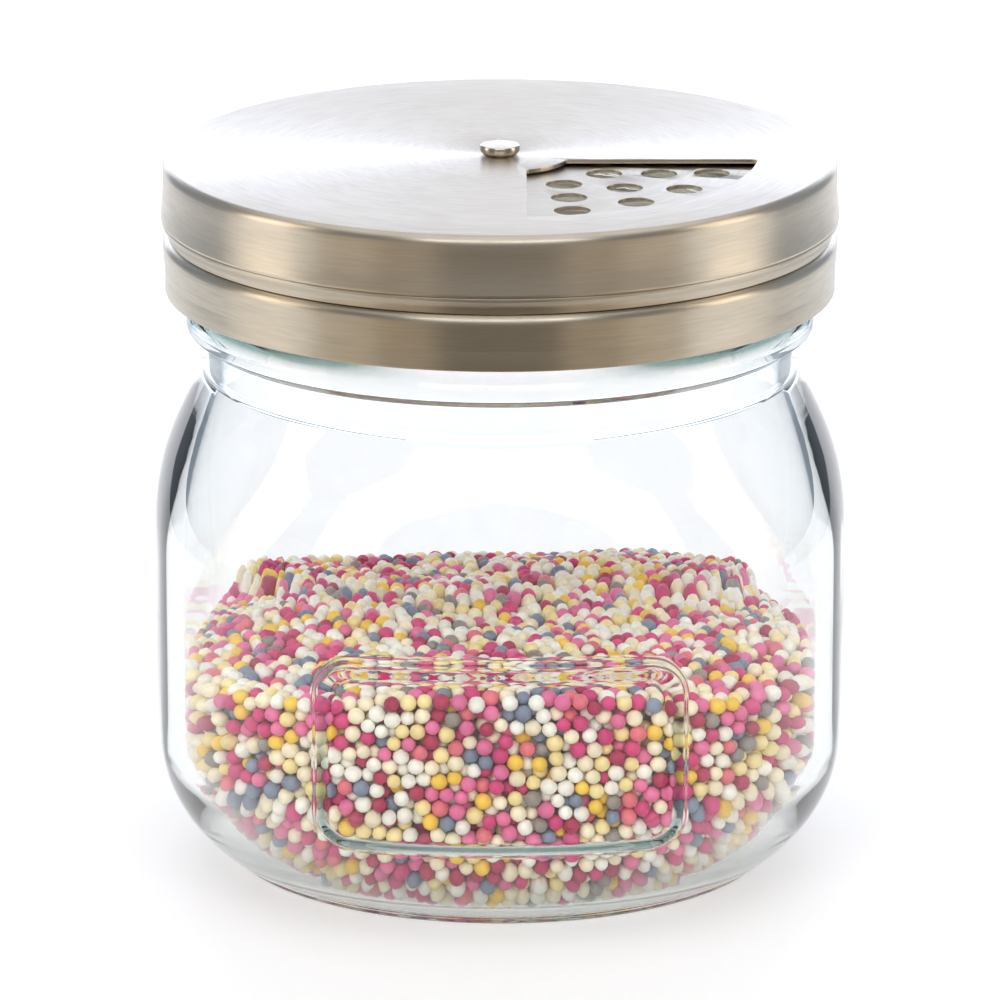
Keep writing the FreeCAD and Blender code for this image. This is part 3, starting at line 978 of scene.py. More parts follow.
    def painted_edge_shade(self, azimuth: np.ndarray, up: np.ndarray) -> np.ndarray:
        """Painted shade on the neck's edge: a narrow ring at the top of the bead, strongest at the sides.

        Args:
            azimuth: direction, in radians.
            up: height above the table.

        Returns:
            The share at each point, from 0 to 1.
        """
        start = smooth_step((up - self.bead_top + self.edge_ring_below) / self.edge_ring_rise)
        end = smooth_step((self.bead_top + self.edge_ring_above - up) / self.edge_ring_fall)
        side = smooth_step((np.abs(np.cos(azimuth)) - self.edge_ring_from) / self.edge_ring_spread)
        return start * end * side

    def build(self) -> bpy.types.Object:
        """Spin the round blank, press it to the soft square, raise panel and thread and mark where shade is
        painted into the glass.

        Returns:
            The jar.
        """
        levels = self.stations()
        outline = [(level.half_width, level.height) for level in levels]
        side = Span(self.front_half_angle - self.edge_half_angle, self.side_steps)
        edge = Span(self.edge_half_angle - self.middle_half_angle, self.edge_steps)
        middle = Span(2 * self.middle_half_angle, self.middle_steps)
        back = Span(FULL_TURN - 2 * self.front_half_angle, self.back_steps)
        jar = spun("glass_jar_clear", outline, (side, edge, middle, edge, side, back),
                   FRONT - self.front_half_angle, closed=False)
        places = coordinates(jar) / MM
        number = stations_of(jar)
        half_width, up, square, grow = (np.array(column)[number] for column in list(zip(*levels))[:4])
        zone = np.array([level.zone.value for level in levels])[number]
        azimuth = np.arctan2(places[:, 1], places[:, 0])
        plain = self.reach(azimuth, half_width, square, grow)
        on_body = zone == Zone.BODY.value
        on_front = on_body & (np.sin(azimuth) < -self.front_sine)
        on_neck = (zone == Zone.NECK.value) & (plain > self.groove_radius)
        recess = np.where(up < self.face_start, self.body_half_width - half_width, 0)
        share, panel_shade = self.panel_form(plain * np.cos(azimuth), up)
        relief = np.where(on_front, (self.panel_raise + self.ridge_upright * recess) * share, 0.0)
        relief += np.where(on_neck, self.thread_relief(azimuth, up), 0.0)
        pressed = self.reach(azimuth, half_width + relief, square, grow + relief)
        places[:, 0] = pressed * np.cos(azimuth)
        places[:, 1] = pressed * np.sin(azimuth)
        put_coordinates(jar, places * MM)
        # Painted shade in the glass's colour: on the heel, on the panel's ridge and in a ring on the neck.
        heel_share = smooth_step((self.panel_bottom - self.heel_shade_gap - up) / self.heel_shade_fade)
        heel = np.where(on_body, self.heel_shade * heel_share, 0.0)
        painted_shade = np.where(on_front, np.maximum(panel_shade, heel), heel)
        painted_shade = np.where(on_neck, self.painted_edge_shade(azimuth, up), painted_shade)
        attribute = jar.data.attributes.new(PAINTED_SHADE, "FLOAT", "POINT")
        attribute.data.foreach_set("value", painted_shade.astype(np.float32))
        shade(jar, self.crease)
        return jar

    def dress(self, jar: bpy.types.Object) -> None:
        """Give the jar its glass, which lets light through to the floor, and set it on its body.

        Args:
            jar: the jar.
        """
        jar.data.materials.append(GlassFinish("clear_glass").material())
        jar.visible_shadow = False
        place(jar, Body.JAR, Slot.GLASS, "glass_jar")


# Sprinkles

class SugarColour(Enum):
    """Colours of the sprinkles, each with its share of the heap."""

    IVORY = ("f8f2e6", 0.24)
    CREAM = ("f8e9c8", 0.2)
    STRAW = ("f7e09c", 0.08)
    GOLD = ("facb42", 0.06)
    CORAL = ("e46f7c", 0.06)
    ROSE = ("e66f9e", 0.1)
    FUCHSIA = ("d23276", 0.1)
    CRIMSON = ("b01d4e", 0.06)
    SLATE = ("7d889e", 0.06)
    TAUPE = ("928981", 0.04)


class Wave(NamedTuple):
    """One wave of the heap's top: turns along X and Y to half a jar's width, start and share."""

    turn_x: float
    turn_y: float
    start: float
    share: float


@dataclass
class SprinkleHeap:
    """Heap of sugar balls: a few layers by the glass and on top, round a hidden core."""

    jar: GlassJar
    least_radius: float = 0.86
    most_radius: float = 1.08
    shell: float = 4.6
    gap: float = 0.04
    crown: float = 31.2
    tilt: float = 0.075
    dome_radius: float = 300.0
    unevenness: float = 0.9
    waves: tuple[Wave, ...] = (Wave(5.2, 3.1, 0.7, 0.45), Wave(-4.0, 6.3, 2.6, 0.35),
                               Wave(11.0, -7.5, 0.4, 0.25), Wave(6.5, 13.0, 2.2, 0.2))
    chart_top: float = 40.0
    chart_rows: int = 120
    chart_columns: int = 361
    trials: int = 120000
    trial_margin: float = 1.1
    trial_headroom: float = 1.5
    packing: float = 0.6
    rounds: int = 150
    first_size: float = 0.55
    growth: float = 0.6
    push_share: float = 0.35
    return_share: float = 0.5
    look_every: int = 4
    look_round: float = 0.4
    lump_height: float = 0.025
    lump_waves: tuple[float, float, float] = (6.2, 3.4, 4.6)
    core_overlap: float = 0.6
    core_drop: float = 2.8
    core_rows: int = 24
    core_steps: int = 72
    core_colour: str = "b98f8c"
    seed: int = 7

    def __post_init__(self) -> None:
        """Chart the inside of the glass, by height and azimuth."""
        jar = self.jar
        self.heights = np.linspace(jar.floor_thickness, self.chart_top, self.chart_rows)
        self.azimuths = np.linspace(-math.pi, math.pi, self.chart_columns)
        levels = jar.wall_levels(jar.floor_thickness, jar.floor_radius, jar.body_half_width - jar.wall,
                                 jar.bore_radius, self.heights)
        width, square = levels[:, :1], levels[:, 2:]
        self.chart = jar.reach(self.azimuths[None, :], width, square, np.full_like(width, -jar.wall))
        self.rise, self.swing = np.gradient(self.chart, self.heights, self.azimuths)

    def read(self, table: np.ndarray, up: np.ndarray, azimuth: np.ndarray) -> np.ndarray:
        """Value of a chart between its lines.

        Args:
            table: the chart.
            up: heights.
            azimuth: directions, in radians.

        Returns:
            The value at each place.
        """
        row_height, column_width = self.heights[1] - self.heights[0], self.azimuths[1] - self.azimuths[0]
        row = np.clip((up - self.heights[0]) / row_height, 0, self.chart_rows - PAST_LAST)
        column = np.clip((azimuth + math.pi) / column_width, 0, self.chart_columns - PAST_LAST)
        i, j = row.astype(int), column.astype(int)
        p, q = row - i, column - j
        low = table[i, j] * (1 - q) + table[i, j + 1] * q
        high = table[i + 1, j] * (1 - q) + table[i + 1, j + 1] * q
        return low * (1 - p) + high * p

    def top(self, across: np.ndarray, along: np.ndarray) -> np.ndarray:
        """Height of the heap's uneven top, which rises to the front, in the waves of the solid.

        Args:
            across: places along X.
            along: places along Y.

        Returns:
            The height over each place.
        """
        width = self.jar.body_half_width
        waves = sum(wave.share * np.sin((wave.turn_x * across + wave.turn_y * along) / width + wave.start)
                    for wave in self.waves)
        dome = self.crown - (across ** 2 + along ** 2) / (2 * self.dome_radius)
        return dome - self.unevenness * (1 + waves) - self.tilt * along

    def depths(self, spots: np.ndarray) -> tuple[np.ndarray, np.ndarray]:
        """How deep places lie in the heap.

        Args:
            spots: places, one row each.

        Returns:
            Depth behind the glass, the floor and the top, one column each, and the outward
            direction of the glass.
        """
        across, along, up = spots.T
        azimuth = np.arctan2(along, across)
        radius = np.hypot(across, along)
        wall = self.read(self.chart, up, azimuth)
        rise = self.read(self.rise, up, azimuth)
        swing = self.read(self.swing, up, azimuth) / wall
        steep = 1 / np.sqrt(1 + rise ** 2 + swing ** 2)
        out = np.stack([np.cos(azimuth) + swing * np.sin(azimuth), np.sin(azimuth) - swing * np.cos(azimuth),
                        -rise], axis=1) * steep[:, None]
        depth = np.stack([(wall - radius) * steep, up - self.jar.floor_thickness,
                          self.top(across, along) - up], axis=1)
        return depth, out

    def keep_in(self, spots: np.ndarray, radii: np.ndarray) -> None:
        """Push balls back between the glass and the core.

        Args:
            spots: middles of the balls, moved in place.
            radii: their radii.
        """
        depth, out = self.depths(spots)
        short = np.maximum(radii[:, None] + self.gap - depth, 0)
        spots -= out * short[:, :1]
        spots[:, 2] += short[:, 1] - short[:, 2]
        nearest = depth.argmin(axis=1)
        spare = np.maximum(depth.min(axis=1) - (self.shell - radii), 0) * self.return_share
        spots += out * (spare * (nearest == 0))[:, None]
        spots[:, 2] += spare * ((nearest == 2).astype(float) - (nearest == 1))

    @staticmethod
    def neighbours(spots: np.ndarray, reach: float) -> tuple[np.ndarray, np.ndarray]:
        """Pairs of balls close to each other.

        Args:
            spots: middles of the balls.
            reach: side of the cells that they are sorted into.

        Returns:
            The two balls of each pair, by number.
        """
        cells = np.floor((spots - spots.min(axis=0)) / reach).astype(np.int64) + 1
        size = cells.max(axis=0) + 2
        keys = (cells[:, 0] * size[1] + cells[:, 1]) * size[2] + cells[:, 2]
        order = np.argsort(keys, kind="stable")
        keys = keys[order]
        firsts, seconds = [], []
        for x, y, z in ((x, y, z) for x in (0, 1) for y in (-1, 0, 1) for z in (-1, 0, 1)):
            shift = (x * size[1] + y) * size[2] + z
            if shift < 0:
                continue
            left = np.searchsorted(keys, keys + shift, "left")
            count = np.searchsorted(keys, keys + shift, "right") - left
            first = np.repeat(np.arange(len(keys)), count)
            second = np.arange(len(first)) + np.repeat(left + count - np.cumsum(count), count)
            fresh = second > first
            firsts.append(order[first[fresh]])
            seconds.append(order[second[fresh]])
        first, second = np.concatenate(firsts), np.concatenate(seconds)
        close = ((spots[first] - spots[second]) ** 2).sum(axis=1) < reach ** 2
        return first[close], second[close]

    def pack(self) -> tuple[np.ndarray, np.ndarray]:
        """Let the balls swell from grains and push each other apart.

        Returns:
            Middles and radii of the balls.
        """
        rng = np.random.default_rng(self.seed)
        side = self.jar.body_half_width * self.trial_margin
        low = np.array([-side, -side, self.jar.floor_thickness])
        high = np.array([side, side, self.crown + self.trial_headroom])
        trial = rng.uniform(low, high, (self.trials, 3))
        depth = self.depths(trial)[0].min(axis=1)
        inside = (depth > 0) & (depth < self.shell)
        room = np.prod(high - low) * inside.mean()
        mean_volume = 4 / 3 * math.pi * ((self.least_radius + self.most_radius) / 2) ** 3
        count = int(room * self.packing / mean_volume)
        spots = trial[inside][:count].copy()
        count = len(spots)
        radii = rng.uniform(self.least_radius, self.most_radius, count)
        for turn in range(self.rounds):
            size = radii * min(1.0, self.first_size + self.growth * turn / self.rounds)
            if turn % self.look_every == 0:
                first, second = self.neighbours(spots, 2 * self.most_radius + self.look_round)
            way = spots[first] - spots[second]
            distance = np.maximum(np.sqrt((way ** 2).sum(axis=1)), TINY)
            overlap = np.maximum(size[first] + size[second] - distance, 0)
            push = way * (self.push_share * overlap / distance)[:, None]
            for axis, force in enumerate(push.T):
                spots[:, axis] += np.bincount(first, force, count) - np.bincount(second, force, count)
            self.keep_in(spots, size)
        LOG.info("sprinkles: %d balls, mean overlap %.3f mm", count, overlap[overlap > 0].mean())
        return spots, radii

    def ball(self) -> tuple[np.ndarray, np.ndarray]:
        """Model one ball, a little lumpy.

        Returns:
            Its vertices, for a radius of 1, and its triangles.
        """
        deselect_all()
        bpy.ops.mesh.primitive_ico_sphere_add(subdivisions=2, radius=1)
        piece = bpy.context.object
        vertices = coordinates(piece)
        lumps = 1 + self.lump_height * np.sin(vertices @ np.array(self.lump_waves))
        faces = np.array([face.vertices[:] for face in piece.data.polygons])
        bpy.data.objects.remove(piece)
        return vertices * lumps[:, None], faces

    def build(self) -> dict[SugarColour, bpy.types.Object]:
        """Heap the balls of each colour into one piece.

        Returns:
            The pieces by colour.
        """
        spots, radii = self.pack()
        vertices, faces = self.ball()
        rng = np.random.default_rng(self.seed + 1)
        shares = np.array([colour.value[1] for colour in SugarColour])
        dye = rng.choice(len(shares), len(spots), p=shares / shares.sum())
        turns = np.linalg.qr(rng.normal(size=(len(spots), 3, 3)))[0]
        turns *= np.sign(np.linalg.det(turns))[:, None, None]
        pieces = {}
        for number, colour in enumerate(SugarColour):
            chosen = np.flatnonzero(dye == number)
            balls = np.einsum("vi,nij->nvj", vertices, turns[chosen]) * radii[chosen, None, None]
            balls += spots[chosen, None]
            corners = faces[None] + (np.arange(len(chosen)) * len(vertices))[:, None, None]
            mesh = bpy.data.meshes.new(f"sprinkles_{colour.name.lower()}")
            mesh.from_pydata((balls.reshape(-1, 3) * MM).tolist(), [], corners.reshape(-1, 3).tolist())
            mesh.shade_smooth()
            pieces[colour] = bpy.data.objects.new(mesh.name, mesh)
            bpy.context.scene.collection.objects.link(pieces[colour])
        return pieces

    def build_core(self) -> bpy.types.Object:
        """Spin the hidden core of the heap, press it to the soft square and tilt its top.

        Returns:
            The core.
        """
        jar, inset = self.jar, self.shell - self.core_overlap
        low, high = jar.floor_thickness + inset, self.crown - inset - self.core_drop
        levels = jar.wall_levels(low, jar.floor_radius - inset, jar.body_half_width - jar.wall - inset,
                                 jar.bore_radius - inset, np.linspace(low, high, self.core_rows))
        outline = [(0.0, low), *[(row[0], row[1]) for row in levels], (0.0, high)]
        core = spun("sprinkle_core", outline, (Span(FULL_TURN, self.core_steps),), closed=False)
        places = coordinates(core) / MM
        square = np.concatenate([[0], levels[:, 2], [0]])[stations_of(core)]
        azimuth = np.arctan2(places[:, 1], places[:, 0])
        pressed = jar.reach(azimuth, np.hypot(places[:, 0], places[:, 1]), square,
                            np.full(len(places), -jar.wall - inset))
        places[:, 0] = pressed * np.cos(azimuth)
        places[:, 1] = pressed * np.sin(azimuth)
        places[:, 2] -= self.tilt * places[:, 1] * (places[:, 2] - low) / (high - low)
        put_coordinates(core, places * MM)
        shade(core)
        return core

    def dress(self, pieces: dict[SugarColour, bpy.types.Object], core: bpy.types.Object) -> None:
        """Give each piece its sugar and lay it in the jar.

        Args:
            pieces: balls by colour.
            core: the hidden core.
        """
        for colour, piece in pieces.items():
            piece.data.materials.append(SugarFinish(piece.name, colour.value[0]).material())
            place(piece, Body.JAR, Slot.SUGAR, "sprinkle_fill")
        core.data.materials.append(SugarFinish(core.name, self.core_colour).material())
        place(core, Body.JAR, Slot.SUGAR, "sprinkle_fill")


# Lid

class HoleRow(NamedTuple):
    """Row of shaker holes: its share of the window's depth, its holes and the angle between them."""

    share: float
    count: int
    pitch: float


@dataclass
class PressedSheet:
    """Sheet of steel pressed round the jar's axis, with openings punched in its flat top."""

    sheet: float = 0.5
    hole_radius: float = 1.55
    rings: tuple[float, ...] = (12.0, 24.0, 34.0)
    window_boss: float = 8.5
    window_radius: float = 31.4
    punch_below: float = 2.0
    punch_above: float = 1.0
    crease: float = 60.0
    steps: int = 240

    def flat(self, up: float) -> list[Corner]:
        """Corners along one side of the flat top, from the rivet hole out."""
        return [Corner(radius, up) for radius in (self.hole_radius, *self.rings)]

    def press(self, name: str, outline: Sequence[tuple[float, float]], top: float,
              openings: Sequence[Sequence[tuple[float, float]]], easing: float) -> bpy.types.Object:
        """Spin the sheet, punch its openings and ease its edges.

        Args:
            name: the piece's name.
            outline: points of the sheet as (radius, height).
            top: height of its flat top.
            openings: outlines of the openings in plan.
            easing: width of the eased edges.

        Returns:
            The piece.
        """
        piece = spun(name, outline, (Span(FULL_TURN, self.steps),))
        low, high = top - self.punch_below, top + self.punch_above
        punch_out(piece, [prism("punch", opening, low, high) for opening in openings])
        apply_modifier(piece, "BEVEL", width=easing * MM, segments=2, limit_method="ANGLE",
                       angle_limit=math.radians(self.crease))
        shade(piece)
        return piece


@dataclass
class ScrewCap(PressedSheet):
    """Pressed steel cap: plate with shaker holes, upper wall, bead and flared band."""

    inner_radius: float = 39.6
    radius: float = 40.1
    bottom: float = 71.05
    band_bottom: float = 73.5
    bead_bottom: float = 75.9
    bead_top: float = 77.9
    bead_out: float = 1.04
    bead_lower: float = 0.5
    bead_upper: float = 0.1
    brow_start: float = 0.2
    brow_out: float = 0.3
    brow_bow: float = 0.3
    brow_step: float = 0.08
    band_out: float = 0.82
    flare: float = 0.85
    plate_top: float = 86.7
    coarse_radius: float = 2.2
    coarse_middle: float = -42.5
    coarse_sides: int = 40
    coarse_rows: tuple[HoleRow, ...] = (HoleRow(0.251, 2, 29.4), HoleRow(0.5175, 3, 23.5),
                                        HoleRow(0.782, 4, 19.0))
    fine_radius: float = 1.0
    fine_middle: float = 45.0
    fine_sides: int = 24
    fine_spacing: float = 4.6
    fine_counts: tuple[tuple[float, int], ...] = ((0.2, 4), (0.38, 5), (0.56, 6), (0.74, 7))
    easing: float = 0.1

    def outline(self) -> list[tuple[float, float]]:
        """Outline of the sheet, from the rivet hole out and down inside, and back up outside.

        Returns:
            The points as (radius, height).
        """
        band, edge, bead = (self.radius + out for out in (self.band_out, self.flare, self.bead_out))
        lower, upper = self.bead_bottom + self.bead_lower, self.bead_top - self.bead_upper
        brow = (self.radius + self.brow_out, self.bead_top)
        under = self.plate_top - self.sheet
        return rounded([
            *self.flat(under),
            Corner(self.inner_radius, under, round=0.4),
            Corner(self.inner_radius, self.bead_top, round=0.3),
            Corner(bead - self.sheet, upper, round=0.3),
            Corner(bead - self.sheet, lower, round=0.3),
            Corner(band - self.sheet, self.bead_bottom, round=0.3),
            Corner(band - self.sheet, self.band_bottom, round=1.0),
            Corner(edge - self.sheet, self.bottom, round=0.2),
            Corner(edge, self.bottom, round=0.25),
            Corner(band, self.band_bottom, round=1.2),
            Corner(bead, lower, round=1.6),
            *bowed((bead, lower + self.brow_start), brow, self.brow_bow, steps=8),
            Corner(*brow),
            Corner(self.radius, self.bead_top + self.brow_step, round=0.05),
            Corner(self.radius, self.plate_top, round=0.9),
            *reversed(self.flat(self.plate_top)),
        ], steps=5)

    def holes(self) -> list[list[tuple[float, float]]]:
        """Shaker holes: coarse ones in the front right quarter, fine ones behind.

        Returns:
            Each hole's outline in plan.
        """
        found = []
        for row in self.coarse_rows:
            found += self.hole_row(row, self.coarse_middle, self.coarse_radius, self.coarse_sides)
        for share, count in self.fine_counts:
            pitch = math.degrees(self.fine_spacing / self.circle(share))
            row = HoleRow(share, count, pitch)
            found += self.hole_row(row, self.fine_middle, self.fine_radius, self.fine_sides)
        return found

    def circle(self, share: float) -> float:
        """Radius at a share of the window's depth."""
        return self.window_boss + (self.window_radius - self.window_boss) * share

    def hole_row(self, row: HoleRow, middle: float, radius: float,
                 sides: int) -> list[list[tuple[float, float]]]:
        """Holes of a row about one azimuth.

        Args:
            row: the row.
            middle: azimuth of its middle.
            radius: radius of the holes.
            sides: sides of each hole's outline.

        Returns:
            Each hole's outline in plan.
        """
        outlines = []
        for number in range(row.count):
            angle = math.radians(middle + row.pitch * (number - (row.count - 1) / 2))
            x, y = polar(self.circle(row.share), angle)
            outlines.append([(x + radius * math.cos(turn), y + radius * math.sin(turn))
                             for turn in np.linspace(0, 2 * math.pi, sides, endpoint=False)])
        return outlines

    def build(self) -> bpy.types.Object:
        """Press the cap and punch the shaker holes."""
        return self.press("screw_cap_steel", self.outline(), self.plate_top, self.holes(), self.easing)


@dataclass
class SelectorCover(PressedSheet):
    """Pressed steel cover: round top with a quadrant window, and a skirt drawn in at its waist."""

    radius: float = 41.1
    top: float = 87.5
    bottom: float = 77.98
    widest_up: float = 80.1
    flare: float = 0.3
    tuck: float = 0.55
    tuck_bow: float = 0.16
    lip: float = 0.33
    ring_in: float = 0.12
    ring_start: float = 0.55
    ring_low: float = 0.45
    ring_high: float = 0.1
    seam_depth: float = 0.18
    seam_edge_in: float = 0.04
    seam_edge_up: float = 0.1
    skirt_start: float = 0.35
    skirt_bow: float = 0.12
    round: float = 1.3
    window_margin: float = 3.2
    window_far_margin: float = 2.6
    easing: float = 0.09

    def outline(self) -> list[tuple[float, float]]:
        """Outline of the sheet, from the rivet hole out and down inside, and back up outside.

        Returns:
            The points as (radius, height).
        """
        widest, edge, under = self.radius + self.flare, self.radius - self.tuck, self.top - self.sheet
        inner, ring, seam = self.radius - self.sheet, widest - self.ring_in, self.widest_up
        skirt_up = seam + self.skirt_start
        return rounded([
            *self.flat(under),
            Corner(inner, under, round=self.round - self.sheet),
            Corner(widest - self.sheet, seam, round=0.4),
            Corner(edge - self.lip, self.bottom, round=0.1),
            Corner(edge, self.bottom, round=0.12),
            *bowed((edge, self.bottom), (ring, seam - self.ring_start), -self.tuck_bow, steps=6),
            Corner(ring, seam - self.ring_low, round=0.12),
            Corner(ring, seam - self.ring_high, round=0.08),
            Corner(ring - self.seam_depth, seam, round=0.03),
            Corner(widest - self.seam_edge_in, seam + self.seam_edge_up, round=0.04),
            Corner(widest, skirt_up, round=0.2),
            *bowed((widest, skirt_up), (self.radius, self.top - self.round), -self.skirt_bow, steps=6),
            Corner(self.radius, self.top, round=self.round),
            *reversed(self.flat(self.top)),
        ], steps=6)

    def window(self) -> list[tuple[float, float]]:
        """Outline of the window in plan.

        Returns:
            The points as (x, y).
        """
        near, far = self.window_margin, self.window_far_margin
        outer, inner = self.window_radius, self.window_boss
        corners = self.arc(outer, -math.acos(near / outer), -math.asin(far / outer), count=30, end_round=0.8)
        corners += self.arc(inner, -math.asin(far / inner), -math.acos(near / inner), count=12, end_round=0.5)
        return rounded(corners, steps=5)

    @staticmethod
    def arc(radius: float, first: float, last: float, count: int, end_round: float) -> list[Corner]:
        """Corners along an arc about the lid's middle, rounded at its ends.

        Args:
            radius: the arc's radius.
            first: azimuth of its start, in radians.
            last: azimuth of its end, in radians.
            count: corners on it.
            end_round: radius of the round on the first and the last.

        Returns:
            The corners, in order.
        """
        corners = [Corner(*polar(radius, turn)) for turn in np.linspace(first, last, count)]
        for end in (0, -1):
            corners[end] = corners[end]._replace(round=end_round)
        return corners

    def build(self) -> bpy.types.Object:
        """Press the cover and punch the window."""
        return self.press("selector_cover_steel", self.outline(), self.top, [self.window()], self.easing)


@dataclass
class CentreRivet:
    """Rivet at the lid's middle, with a barrel-shaped head."""

    shank: float = 1.5
    tail_radius: float = 2.8
    tail_bottom: float = 84.55
    tail_top: float = 85.35
    collar_radius: float = 1.9
    collar_bottom: float = 87.55
    head_bottom: float = 87.65
    head_top: float = 88.75
    head_foot: float = 2.1
    head_end: float = 2.35
    head_belly: float = 0.2
    crown: float = 0.1
    crown_bow: float = 0.03
    steps: int = 72

    def build(self) -> bpy.types.Object:
        """Spin the rivet.

        Returns:
            The rivet.
        """
        foot, end = (self.head_foot, self.head_bottom), (self.head_end, self.head_top)
        peak = (0, self.head_top + self.crown)
        outline = rounded([
            Corner(0, self.tail_bottom),
            Corner(self.tail_radius, self.tail_bottom, round=0.35),
            Corner(self.tail_radius, self.tail_top, round=0.15),
            Corner(self.shank, self.tail_top),
            Corner(self.shank, self.collar_bottom),
            Corner(self.collar_radius, self.collar_bottom, round=0.1),
            Corner(self.collar_radius, self.head_bottom),
            Corner(*foot, round=0.1),
            *bowed(foot, end, self.head_belly, steps=8),
            Corner(*end, round=0.12),
            *bowed(end, peak, self.crown_bow, steps=5),
            Corner(*peak),
        ], steps=4, closed=False)
        rivet = spun("centre_rivet_steel", outline, (Span(FULL_TURN, self.steps),), closed=False)
        shade(rivet)
        return rivet


@dataclass
class ShakerLid:
    """The lid: screw cap, selector cover and rivet, with the washer and the seal inside."""

    cap: ScrewCap
    cover: SelectorCover
    rivet: CentreRivet

    def build(self) -> None:
        """Model the three steel pieces that show and dress all five."""
        bright = BrushedSteel("brushed_steel_cover", "cec5b6", "c3b9a9")
        band = BrushedSteel("brushed_steel_cap", "cac1b1", "bdb4a4")
        turned = BrushedSteel("turned_steel_rivet", "d4ccbe", "c2b9a9", roughness=0.2, streaks=5200.0)
        self.dress(self.cover.build(), bright, Body.COVER, "selector_cover")
        self.dress(self.cap.build(), band, Body.CAP, "screw_cap")
        self.dress(self.rivet.build(), turned, Body.CAP, "centre_rivet")
        self.repaint("spring_washer", BrushedSteel("spring_steel", "8c8c8a", "74746f").material())
        self.repaint("lid_gasket", RubberFinish("seal_rubber").material())

    @staticmethod
    def dress(piece: bpy.types.Object, finish: BrushedSteel, body: Body, node: str) -> None:
        """Give a steel piece its finish and set it on its body.

        Args:
            piece: the piece.
            finish: its steel.
            body: the body that carries it.
            node: the CAD node that it stands for.
        """
        piece.data.materials.append(finish.material())
        place(piece, body, Slot.STEEL, node)

    @staticmethod
    def repaint(node: str, material: bpy.types.Material) -> None:
        """Give a CAD node that stays another material.

        Args:
            node: the node's name.
            material: its new material.
        """
        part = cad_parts[node]
        part.data.materials.clear()
        part.data.materials.append(material)
        LOG.info("%s: CAD node with a new finish", node)


# Studio, in metres

def looking(stand: tuple[float, float, float], aim: tuple[float, float, float]) -> Euler:
    """Turn of a light or a camera that looks from its stand at its aim."""
    return (Vector(aim) - Vector(stand)).to_track_quat("-Z", "Y").to_euler()


@dataclass
class Softbox:
    """Soft light: where it stands, its size, its power in watts and where it aims."""

    name: str
    stand: tuple[float, float, float]
    width: float
    height: float
    power: float
    colour: str = "ffffff"
    mirrored: bool = True
    lighting: bool = True
    aim: tuple[float, float, float] = (0.0, 0.0, 0.05)

    def build(self) -> None:
        """Hang the light. One that isn't mirrored leaves no image in steel and glass, and one that
        isn't lighting leaves only that image.
        """
        lamp = bpy.data.lights.new(self.name, "AREA")
        lamp.shape = "RECTANGLE"
        lamp.size, lamp.size_y = self.width, self.height
        lamp.energy = self.power
        lamp.color = linear(self.colour)[:3]
        box = bpy.data.objects.new(self.name, lamp)
        box.location = self.stand
        box.rotation_euler = looking(self.stand, self.aim)
        box.visible_camera = False
        box.visible_glossy = self.mirrored
        box.visible_diffuse = self.lighting
        bpy.context.scene.collection.objects.link(box)


